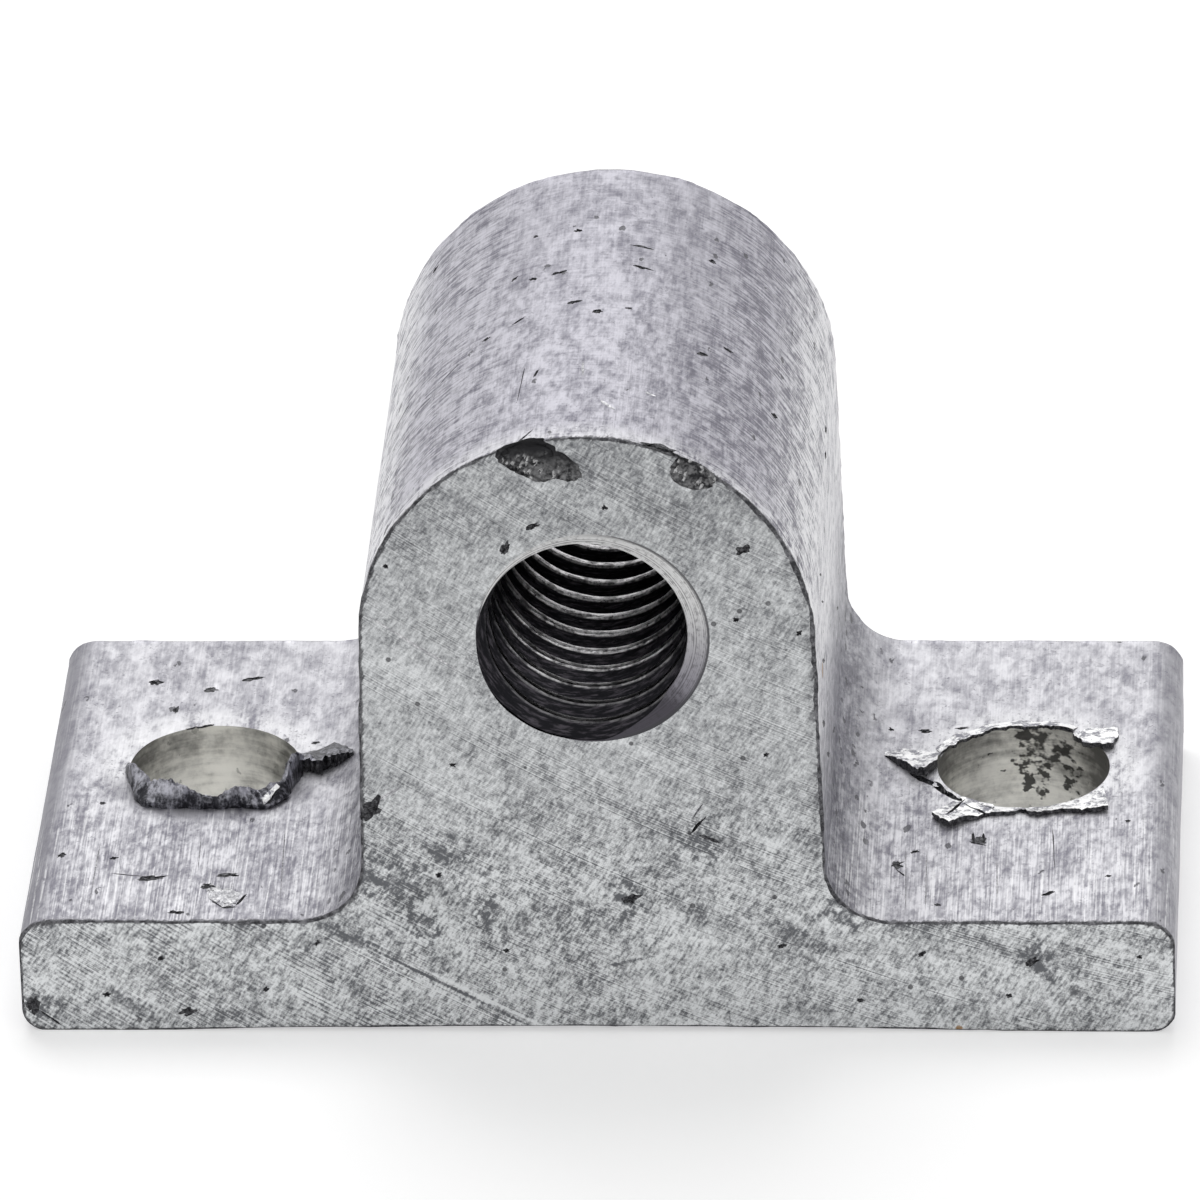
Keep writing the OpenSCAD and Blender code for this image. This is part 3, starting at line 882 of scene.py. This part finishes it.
# Torn leaves lie between a held and a free edge, both as (x, y, height) from the hole's centre
leaves = {
    "flake": {
        "hole": "left", "thickness": 0.14,
        "held": [(1.62, -2.90, 0.12), (1.80, -2.90, 0.34), (2.04, -2.82, 0.55), (2.35, -2.70, 0.80)],
        "free": [(1.72, -3.00, 0.05), (1.92, -3.06, 0.20), (2.16, -2.96, 0.40), (2.44, -2.76, 0.72)],
    },
    "nib": {
        "hole": "left", "thickness": 0.06, "late": True,
        "held": [(-1.3, 2.85, -0.04), (-0.8, 3.02, -0.04), (-0.25, 3.12, -0.04)],
        "free": [(-1.2, 2.66, 0.03), (-0.75, 2.78, 0.05), (-0.45, 2.80, 0.16), (-0.3, 2.85, 0.14)],
    },
    "besideLeft": {
        "hole": "left", "thickness": 0.46, "rough": True,
        "held": [(2.85, 1.1, -0.05), (3.5, 1.15, 0.04), (4.0, 1.6, 0.08), (4.6, 1.4, 0.05)],
        "free": [(2.92, -0.5, 0.48), (3.3, -0.33, 0.55), (3.57, -0.69, 0.55), (3.83, -0.42, 0.6),
                 (4.15, -0.13, 0.6), (4.48, 0.04, 0.55), (4.78, 0.31, 0.42)],
    },
    "besideRight": {
        "hole": "right", "thickness": 0.32,
        "held": [(-5.35, 1.2, -0.02), (-4.8, 1.3, 0.0), (-4.1, 1.35, 0.0), (-3.6, 1.1, 0.03),
                 (-2.85, 1.04, 0.03)],
        "free": [(-5.1, 0.95, 0.06), (-4.6, 0.45, 0.2), (-4.2, -0.05, 0.32), (-3.95, -0.44, 0.38),
                 (-3.6, -0.89, 0.42), (-3.35, -0.84, 0.46), (-3.1, -0.4, 0.45), (-2.9, -0.02, 0.4)],
    },
    "frontRight": {
        "hole": "right", "thickness": 0.18,
        "held": [(-1.78, -1.9, 0.0), (-2.25, -2.4, 0.05), (-2.6, -2.99, 0.12), (-3.05, -3.62, 0.22)],
        "free": [(-0.95, -2.72, 0.06), (-1.0, -3.5, 0.15), (-1.57, -3.82, 0.2), (-1.9, -4.02, 0.27),
                 (-2.4, -4.45, 0.32), (-2.75, -4.25, 0.32)],
    },
    "frontLip": {
        "hole": "right", "thickness": 0.15,
        "held": [(-1.1, -2.6, -0.04), (0.0, -2.85, -0.04), (1.2, -2.6, -0.02), (2.1, -1.95, -0.02),
                 (2.75, -1.3, 0.0)],
        "free": [(-1.06, -3.5, 0.16), (-0.38, -3.5, 0.15), (-0.05, -3.3, 0.2), (0.3, -3.52, 0.18),
                 (0.64, -3.57, 0.2), (1.3, -3.38, 0.2), (2.0, -3.32, 0.2), (2.5, -3.32, 0.24),
                 (2.95, -3.2, 0.26)],
    },
    "backRight": {
        "hole": "right", "thickness": 0.17, "late": True,
        "held": [(1.55, 2.75, -0.05), (2.2, 3.0, -0.03), (3.17, 3.2, -0.03)],
        "free": [(1.7, 2.1, 0.08), (2.07, 1.44, 0.2), (2.6, 1.11, 0.3), (3.0, 1.18, 0.3), (3.2, 2.1, 0.12)],
    },
    "backLip": {
        "hole": "right", "thickness": 0.12, "late": True,
        "held": [(1.9, 3.1, -0.04), (0.8, 3.5, -0.04), (-0.4, 3.55, -0.04), (-1.5, 3.2, -0.04),
                 (-2.5, 2.5, -0.04), (-3.2, 1.5, -0.04)],
        "free": [(1.6, 2.45, 0.16), (1.3, 2.62, 0.2), (0.5, 2.62, 0.18), (-0.3, 2.6, 0.22), (-1.2, 2.4, 0.2),
                 (-1.5, 2.15, 0.16), (-2.2, 1.75, 0.14), (-2.85, 0.9, 0.1)],
    },
}


leafMesh = {
    "spacing": 0.07, "rows": 9, "roughGain": 1.8,
    # What roughens a leaf along x, y and z: size, scale along x, scale along y and seed of two waves
    "waves": [[(0.06, 4, 4, 1), (0.04, 11, 9, 3)], [(0.09, 5, 3, 5), (0.07, 12, 6, 7)],
              [(0.07, 2.3, 2.3, 9), (0.03, 7, 7, 2)]],
}


def walk(route, share):
    # Point at a share of a route's length
    lengths = [math.dist(a, b) for a, b in zip(route, route[1:])]
    left = share * sum(lengths)
    for (a, b), length in zip(zip(route, route[1:]), lengths):
        if left <= length or b is route[-1]:
            return Vector(a).lerp(Vector(b), min(1.0, left / length))
        left -= length


def makeLeaf(name):
    leaf = leaves[name]
    cx, cy = drilled[leaf["hole"]]
    base = Vector((cx, cy, bar["footThickness"]))
    length = sum(math.dist(a, b) for a, b in zip(leaf["free"], leaf["free"][1:]))
    columns, rows = max(12, round(length / leafMesh["spacing"])), leafMesh["rows"]
    top, under = [], []
    for r in range(rows):
        for c in range(columns):
            held, free = walk(leaf["held"], c / (columns - 1)), walk(leaf["free"], c / (columns - 1))
            point = base + held.lerp(free, r / (rows - 1))
            ragged = (0.25 + 0.75 * r / (rows - 1)) * (leafMesh["roughGain"] if leaf.get("rough") else 1.0)
            for axis, waves in enumerate(leafMesh["waves"]):
                point[axis] += ragged * sum(size * wave(point.x * a, point.y * b, seed)
                                            for size, a, b, seed in waves)
            thick = leaf["thickness"] * (1 + 0.5 * wave(point.x * 3, point.y * 3, 17))
            top.append(point)
            under.append(point - Vector((0, 0, thick)))
    points = top + under
    size = columns * rows
    faces, zones = [], []
    for r in range(rows - 1):
        for c in range(columns - 1):
            a = r * columns + c
            faces += [(a, a + 1, a + columns + 1, a + columns),
                      (size + a, size + a + columns, size + a + columns + 1, size + a + 1)]
            # The underside and the border are near-black: painted shadow in the gap under the leaf
            zones += [onTorn if leaf.get("rough") else onLip, onPitAndShadow]
    border = ([c for c in range(columns)] + [r * columns + columns - 1 for r in range(1, rows)]
              + [size - 1 - c for c in range(1, columns)] + [r * columns for r in range(rows - 2, 0, -1)])
    for i, a in enumerate(border):
        b = border[(i + 1) % len(border)]
        faces.append((a, b, size + b, size + a))
        zones.append(onPitAndShadow)
    return makeObject(name, points, faces, zones)


# Dents, chips and pits

def roughBlob(place, normal, turn, size, roughness, level, seed):
    # A broken-edged lump to cut with: size is its half length, half width and depth
    facing = Vector((0, 0, 1)).rotation_difference(Vector(normal)).to_matrix()
    spin = Matrix.Rotation(math.radians(turn), 3, "Z")
    shape = bmesh.new()
    bmesh.ops.create_icosphere(shape, subdivisions=level, radius=1)
    for vert in shape.verts:
        shift = Vector((seed, 0.3 * seed, 2.1))
        lump = 1 + roughness * (wave(*(vert.co * 1.6 + shift)) + 0.7 * wave(*(vert.co * 4 - shift)))
        local = Vector((vert.co.x * size[0], vert.co.y * size[1], vert.co.z * size[2])) * lump
        vert.co = Vector(place) + facing @ (spin @ local)
    points = [v.co.copy() for v in shape.verts]
    faces = [tuple(v.index for v in f.verts) for f in shape.faces]
    shape.free()
    return points, faces


dents = {
    # Place across, height, turn, half length, half width, depth
    "places": [(-1.75, 21.85, 4, 1.08, 0.62, 0.45), (-1.40, 21.45, -8, 0.84, 0.56, 0.36),
               (-0.72, 21.45, -30, 0.86, 0.44, 0.22), (3.68, 21.16, -24, 0.84, 0.54, 0.30)],
    "roughness": 0.18, "fineness": 4,
}

# Lumps of bright metal left in the torn patch before the left hole: across, along, half sizes
rubble = {
    "places": [(-12.85, -8.15, 0.30, 0.40, 0.06), (-12.50, -8.75, 0.24, 0.34, 0.05),
               (-13.10, -7.80, 0.18, 0.24, 0.05), (-12.30, -8.30, 0.16, 0.30, 0.04)],
    "roughness": 1.0, "turn": 20, "fineness": 3,
}

marks = {
    # Pits: across, along, turn, half length, half width, depth; across the arch is in degrees from its top
    "front": [
        (-2.6, 18.4, 60, 0.24, 0.13, 0.1), (-1.65, 19.2, 25, 0.26, 0.09, 0.08),
        (0.75, 19.9, 0, 0.1, 0.09, 0.07), (5.3, 18.3, 30, 0.24, 0.15, 0.05), (5, 15.7, 0, 0.11, 0.08, 0.07),
        (7.1, 15.2, 50, 0.13, 0.08, 0.07), (1.2, 5.1, 20, 0.3, 0.17, 0.07),
        (3.55, 7.9, 52, 0.42, 0.05, 0.1), (3.95, 7.4, -25, 0.32, 0.08, 0.05),
        (-14.7, 2.8, 0, 0.12, 0.09, 0.08), (-13.9, 0.7, 20, 0.26, 0.15, 0.06),
        (-16.6, 1.4, 0, 0.13, 0.09, 0.07), (14.7, 2.7, 30, 0.26, 0.14, 0.07),
        (18.3, 2.9, 0, 0.08, 0.08, 0.06), (13.9, 1.4, 0, 0.1, 0.09, 0.06),
        (-6.6, 17.7, 0, 0.09, 0.08, 0.06), (-7.45, 8.45, 45, 0.55, 0.28, 0.16),
        (-19.1, 1, 80, 0.35, 0.2, 0.1), (-11.2, 1.6, 30, 0.12, 0.08, 0.06),
        (-9.4, 3.4, 60, 0.14, 0.07, 0.06), (-3, 3.1, 0, 0.1, 0.08, 0.06), (6.3, 3.3, 15, 0.16, 0.07, 0.06),
        (8.9, 1.2, 0, 0.12, 0.08, 0.06), (11, 3, 40, 0.13, 0.08, 0.06), (-5.2, 6, 20, 0.12, 0.1, 0.06),
        (-4.6, 10.2, 0, 0.1, 0.08, 0.06), (5.9, 10.6, 30, 0.1, 0.08, 0.06),
    ],
    "foot": [
        (-15.2, -7.1, 10, 0.45, 0.16, 0.07), (-12.6, -6.9, 5, 0.38, 0.14, 0.07),
        (-13.3, -7.6, 30, 0.2, 0.12, 0.06), (-14.2, -9.5, 0, 0.25, 0.12, 0.06),
        (-18.4, -5.5, 60, 0.2, 0.12, 0.06), (-16.6, -5.7, 20, 0.16, 0.1, 0.06),
        (-16.2, 7, 10, 0.22, 0.22, 0.07), (-15.3, 5, 85, 0.25, 0.09, 0.06),
        (-12.8, 7.3, 15, 0.35, 0.14, 0.06), (-14.2, 6.5, 0, 0.25, 0.2, 0.03),
        (17.2, -6.9, 30, 0.1, 0.08, 0.05), (12.78, -4.35, 15, 0.24, 0.26, 0.035),
        (10.05, -6.15, 20, 0.18, 0.3, 0.04), (10.6, -5.2, 30, 0.14, 0.1, 0.06),
        (15.2, -8.1, 40, 0.25, 0.1, 0.06), (11.5, -8.9, 0, 0.12, 0.1, 0.06), (8.5, 5, 0, 0.14, 0.14, 0.06),
        (8.6, 3.8, 0, 0.12, 0.14, 0.06), (10.7, 3.5, 0, 0.2, 0.14, 0.07), (9.5, 3.5, 20, 0.16, 0.14, 0.06),
        (12, 3.7, 10, 0.22, 0.1, 0.05), (8.9, 7, 70, 0.2, 0.1, 0.05), (-17.3, -1.8, 0, 0.1, 0.1, 0.05),
        (-10.3, 2.6, 30, 0.14, 0.1, 0.05), (17.8, -3, 0, 0.1, 0.1, 0.05),
    ],
    "arch": [
        (-52.2, 8.38, 20, 0.16, 0.12, 0.07), (-17.9, 5.67, 0, 0.1, 0.09, 0.07),
        (-6.6, 5.46, 0, 0.14, 0.12, 0.08), (-10.4, 2.39, 15, 0.25, 0.1, 0.08),
        (-17.1, 2.32, 60, 0.1, 0.16, 0.07), (-22.5, 2.83, 50, 0.18, 0.08, 0.07),
        (10.6, 2.83, -12, 0.32, 0.1, 0.08), (10.5, 4.37, -5, 0.45, 0.08, 0.05),
        (-5.4, 0, 12, 0.22, 0.12, 0.08), (0.8, -0.77, 0, 0.18, 0.16, 0.08),
        (-28.9, -1.02, 20, 0.14, 0.1, 0.07), (-20, -0.6, 35, 0.3, 0.06, 0.05),
        (-13.2, -5.04, 75, 0.3, 0.05, 0.05), (8.6, -0.37, 0, 0.1, 0.08, 0.05),
        (52.9, -2.6, 50, 0.2, 0.12, 0.08), (28.8, -2.13, 40, 0.25, 0.12, 0.06),
        (36, -0.81, 0, 0.2, 0.1, 0.06), (29.3, 4.93, 0, 0.14, 0.12, 0.06), (81.5, 3.15, 80, 0.3, 0.1, 0.06),
        (83.9, 1.88, 80, 0.35, 0.12, 0.07), (20.5, -10, 4, 0.72, 0.3, 0.1),
    ],
    "roughness": 0.65, "fineness": 3,
}

strokes = {
    # Lines scratched along the metal: start, end, half width, depth, bright or not
    "front": [
        ((-18.9, 0.75), (-18.2, 0.2), 0.06, 0.04, False), ((-7.35, 15.9), (-4.2, 13.7), 0.06, 0.02, True),
        ((-7.3, 8.75), (-6.4, 9.35), 0.1, 0.03, True), ((3.35, 8.1), (3.75, 8.75), 0.07, 0.05, True),
    ],
    "foot": [
        ((-17.15, -4.41), (-17.18, -9.34), 0.03, 0.02, True),
        ((-13.73, -4.4), (-13.67, -6.5), 0.03, 0.02, True),
        ((-10.9, -3.7), (-10.73, -8.6), 0.03, 0.02, True),
        ((-9.64, -3.7), (-9.5, -7.2), 0.025, 0.02, False),
        ((-13.05, -8.7), (-12.65, -9.15), 0.07, 0.06, False),
        ((-12.7, -9.2), (-12.15, -9.1), 0.08, 0.06, False),
        ((-12.2, -9.05), (-11.9, -8.2), 0.08, 0.06, False),
        ((-13.5, -7.8), (-12.95, -7.7), 0.12, 0.07, False),
        ((-16.6, -6.78), (-15.4, -7), 0.05, 0.04, False), ((11.03, -5.2), (11.1, -9.3), 0.03, 0.02, True),
        ((13.42, -5.8), (13.5, -8.6), 0.025, 0.02, True), ((9.5, -1.5), (9.7, -8.6), 0.025, 0.02, False),
        ((15.25, -3.5), (15.4, -6.5), 0.025, 0.02, False), ((10.3, -4.8), (10.45, -9.4), 0.025, 0.02, True),
        ((12.45, -4.45), (13.05, -4.75), 0.1, 0.05, False),
        ((12.55, -3.8), (12.62, -4.5), 0.08, 0.05, False),
        ((12.9, -3.85), (12.95, -4.6), 0.07, 0.05, False), ((9.85, -6.25), (10.3, -5.85), 0.1, 0.05, False),
        # The last three foot strokes, from (10.2, 0.45) on, are the crevice under the leaf beside the right
        # hole, cut black as its painted shadow
        ((10, -6.4), (10.35, -6.9), 0.06, 0.05, False), ((10.2, 0.45), (11.3, -0.55), 0.17, 0.14, False),
        ((11.1, -0.2), (11.62, -1.15), 0.2, 0.16, False), ((11.5, -0.85), (12.15, -1.7), 0.18, 0.16, False),
    ],
    "leaf": [
        ((12.3, -1.35), (11.65, -3), 0.16, 0.34, False), ((12.1, -1.8), (13.1, -2.95), 0.15, 0.3, False),
        ((12.6, -1.75), (13.3, -2.5), 0.12, 0.28, False),
    ],
    "wall": [
        ((-5.4, 14.9), (-4.2, 14.3), 0.1, 0.03, False), ((-5, 13.7), (-3.8, 13.05), 0.08, 0.03, False),
        ((-6.1, 12), (-4.5, 11.15), 0.14, 0.03, False), ((-7.7, 10.5), (-6.3, 9.75), 0.15, 0.03, False),
        ((-6, 8.4), (-4.7, 7.7), 0.13, 0.03, False), ((-2.1, 7.1), (-0.7, 6.6), 0.13, 0.03, False),
        ((3.6, 8.9), (4.8, 8.3), 0.1, 0.03, False),
    ],
    "arch": [
        ((-56, -1), (-67, -1.3), 0.08, 0.03, False), ((-45, -2.6), (-54, -2.5), 0.05, 0.03, False),
        ((-36, -1.6), (-43, -2.2), 0.05, 0.03, False), ((-63, -4.6), (-72, -5), 0.05, 0.03, False),
        ((-17.5, -6.9), (-16.5, -4.4), 0.03, 0.03, False), ((-16.2, -10), (-12.2, -9.2), 0.07, 0.05, False),
        ((-1.5, -4.5), (-1, -5.6), 0.06, 0.02, True), ((4, -7.4), (8, -8), 0.08, 0.02, True),
        ((15, -6.3), (18, -6.4), 0.09, 0.02, True),
    ],
}


def onSide(side, across, along):
    # A place on one of the block's sides and the way out of it; "leaf" is just above the foot
    b = bar
    if side == "front":
        return Vector((across, -b["length"] / 2, along)), Vector((0, -1, 0))
    if side in ("foot", "leaf"):
        raised = 0.3 if side == "leaf" else 0.0
        return Vector((across, along, b["footThickness"] + raised)), Vector((0, 0, 1))
    if side == "wall":
        far = b["archRadius"] + (b["archHeight"] - along) * math.tan(math.radians(b["sideDraft"]))
        return Vector((far, across, along)), Vector((1, 0, 0))
    a = math.radians(across)
    out = Vector((math.sin(a), 0, math.cos(a)))
    return Vector((0, along, b["archHeight"])) + b["archRadius"] * out, out


def strokeCutter(side):
    # Thin wedges that fade out at both ends
    points, faces, zones = [], [], []
    for start, end, wide, deep, bright in strokes[side]:
        first, last = onSide(side, *start)[0], onSide(side, *end)[0]
        count = max(6, round((last - first).length / 0.2))
        base = len(points)
        for i in range(count + 1):
            t = i / count
            place, out = onSide(side, *(a + (b - a) * t for a, b in zip(start, end)))
            sideways = out.cross(last - first).normalized()
            taper = min(1.0, 6 * t * (1 - t) + 0.1)
            width = wide * taper * (1.2 + 0.9 * wave(place.x * 2.2, place.y * 2.2, place.z * 2.2))
            middle = place + sideways * 0.3 * wide * wave(place.x * 1.4, place.y * 1.4, place.z * 1.4)
            points += [middle + sideways * width + out * deep, middle - sideways * width + out * deep,
                       middle - out * deep * (0.4 + 0.6 * taper)]
        faces += [tuple(base + k for k in face) for face in ringFaces(count + 1, 3)]
        faces += [(base, base + 1, base + 2), tuple(len(points) - k for k in (1, 2, 3))]
        zones += [onScratch if bright else onPitAndShadow] * (3 * count + 2)
    return makeObject("strokes", points, faces, zones)


def markCutter(side):
    # All the marks of one side as one cutter; they don't touch each other
    points, faces = [], []
    for i, (across, along, turn, long, wide, deep) in enumerate(marks[side]):
        place, out = onSide(side, across, along)
        start = len(points)
        lump, lumpFaces = roughBlob(place, out, turn, (long, wide, deep), marks["roughness"],
                                    marks["fineness"], i * 3.7)
        points += lump
        faces += [tuple(start + k for k in face) for face in lumpFaces]
    return makeObject("marks", points, faces, onPitAndShadow)


def dropChips(block):
    # The cuts leave a few loose chips and closed pockets: only the largest shell is the block
    shape = bmesh.new()
    shape.from_mesh(block.data)
    for face in shape.faces:
        face.tag = False
    shells = []
    for start in shape.faces:
        if start.tag:
            continue
        start.tag = True
        shell = [start]
        for face in shell:
            for edge in face.edges:
                for other in edge.link_faces:
                    if not other.tag:
                        other.tag = True
                        shell.append(other)
        shells.append(shell)
    shells.sort(key=len)
    loose = [face for shell in shells[:-1] for face in shell]
    bmesh.ops.delete(shape, geom=loose, context="FACES")
    shape.to_mesh(block.data)
    shape.free()


def addLeaves(block, late):
    # Late leaves reach over a hole, so they come after the drill
    for name, leaf in leaves.items():
        if leaf.get("late", False) == late:
            combine(block, makeLeaf(name), "UNION")


def buildBlock():
    block = makeBar()
    print("bar:", len(block.data.polygons), "faces")
    combine(block, makeCollar(), "UNION")
    addLeaves(block, late=False)
    print("collar and leaves:", len(block.data.polygons), "faces")
    combine(block, threadCutter(), "DIFFERENCE")
    combine(block, countersinkCutter(-1, tapped["sinkShift"]), "DIFFERENCE")
    combine(block, countersinkCutter(1, 0), "DIFFERENCE")
    combine(block, holeCutter(drilled["left"]), "DIFFERENCE")
    combine(block, holeCutter(drilled["right"]), "DIFFERENCE")
    addLeaves(block, late=True)
    print("holes:", len(block.data.polygons), "faces")
    for i, (x, y, long, wide, high) in enumerate(rubble["places"]):
        lump = roughBlob((x, y, bar["footThickness"]), (0, 0, 1), rubble["turn"], (long, wide, high),
                         rubble["roughness"], rubble["fineness"], i)
        combine(block, makeObject("rubble", *lump, onScratch), "UNION")
    for i, (x, z, turn, long, wide, deep) in enumerate(dents["places"]):
        lump = roughBlob((x, -bar["length"] / 2, z), (0, -1, 0), turn, (long, wide, deep),
                         dents["roughness"], dents["fineness"], i + 7)
        combine(block, makeObject("dent", *lump, onDent), "DIFFERENCE")
    for side in ("front", "foot", "arch"):
        combine(block, markCutter(side), "DIFFERENCE")
    for side in strokes:
        combine(block, strokeCutter(side), "DIFFERENCE")
    print("dents and marks:", len(block.data.polygons), "faces")
    dropChips(block)
    print("without loose chips:", len(block.data.polygons), "faces")
    block.data.transform(Matrix.Scale(mm, 4))
    block.data.shade_smooth()
    block.data.set_sharp_from_angle(angle=math.radians(bar["sharpAngle"]))
    return block


block = buildBlock()
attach(block, "root")
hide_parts("adjusting_block")

# Floor, light and camera

# Metres and watts
stage = {
    "floorSize": 3.0, "floorTone": 0.82, "floorGlow": 0.42, "worldSoft": 0.45, "aim": (0, 0, 0.01),
    "keyPlace": (-0.07, 0.28, 0.52), "keyPower": 1.5, "keySize": 0.40,
    "fillPlace": (0.35, -0.6, 0.35), "fillPower": 0.4, "fillSize": 0.6,
}


def seenDirectly(start):
    # 1 for camera, glossy and transmission rays, which see plain white
    camera, glossy, through = (start.node("LightPath", output=f"Is {ray} Ray")
                               for ray in ("Camera", "Glossy", "Transmission"))
    return step(camera + glossy + through, 0, 1)


def makeFloor():
    shape = bmesh.new()
    bmesh.ops.create_grid(shape, x_segments=1, y_segments=1, size=stage["floorSize"] / 2)
    mesh = bpy.data.meshes.new("floor")
    shape.to_mesh(mesh)
    shape.free()
    floor = bpy.data.objects.new("floor", mesh)
    scene.collection.objects.link(floor)
    material = bpy.data.materials.new("paleFloor")
    material.use_nodes = True
    tree = material.node_tree
    tree.nodes.clear()
    start = Wire(tree)
    tone = stage["floorTone"]
    plain = start.node("BsdfDiffuse", inputs={"Color": (tone, tone, tone, 1)})
    glow = start.node("Emission", inputs={"Color": (1, 1, 1, 1), "Strength": stage["floorGlow"]})
    white = start.node("AddShader", inputs={0: plain, 1: glow})
    both = start.node("MixShader", inputs={0: seenDirectly(start), 1: plain, 2: white})
    start.node("OutputMaterial", inputs={"Surface": both})
    mesh.materials.append(material)


def makeWorld():
    world = bpy.data.worlds.new("studio")
    scene.world = world
    world.use_nodes = True
    tree = world.node_tree
    tree.nodes.clear()
    start = Wire(tree)
    soft = start.node("Background", inputs={"Color": (1, 1, 1, 1), "Strength": stage["worldSoft"]})
    white = start.node("Background", inputs={"Color": (1, 1, 1, 1), "Strength": 1.0})
    both = start.node("MixShader", inputs={0: seenDirectly(start), 1: soft, 2: white})
    start.node("OutputWorld", inputs={"Surface": both})


def addLamp(name):
    lamp = bpy.data.lights.new(name, "AREA")
    lamp.energy = stage[name + "Power"]
    lamp.size = stage[name + "Size"]
    made = bpy.data.objects.new(name, lamp)
    made.location = stage[name + "Place"]
    made.rotation_euler = (Vector(stage["aim"]) - made.location).to_track_quat("-Z", "Y").to_euler()
    scene.collection.objects.link(made)


view = {
    # Camera worked out from the photograph's edges: millimetres, degrees, and focal length in pixels
    "distance": 478.736, "azimuth": 3.698, "elevation": 27.617, "roll": -1.716,
    "aim": (-0.154, 0.0, 11.122), "focal": 14056.2, "imageWidth": 1200, "sensor": 36.0,
}


def addCamera():
    azimuth, elevation, roll = (math.radians(view[k]) for k in ("azimuth", "elevation", "roll"))
    back = Vector((math.sin(azimuth) * math.cos(elevation), -math.cos(azimuth) * math.cos(elevation),
                   math.sin(elevation)))
    right = Vector((math.cos(azimuth), math.sin(azimuth), 0))
    up = back.cross(right)
    tiltedRight = right * math.cos(roll) + up * math.sin(roll)
    tiltedUp = up * math.cos(roll) - right * math.sin(roll)
    camera = bpy.data.objects.new("camera", bpy.data.cameras.new("camera"))
    scene.collection.objects.link(camera)
    place = Matrix((tiltedRight, tiltedUp, back)).transposed().to_4x4()
    place.translation = (Vector(view["aim"]) + back * view["distance"]) * mm
    camera.matrix_world = place
    camera.data.sensor_width = view["sensor"]
    camera.data.lens = view["focal"] / view["imageWidth"] * view["sensor"]
    camera.data.clip_start = 0.01
    scene.camera = camera


makeFloor()
makeWorld()
addLamp("key")
addLamp("fill")
addCamera()
scene.view_settings.view_transform = "Standard"
print("stage set")
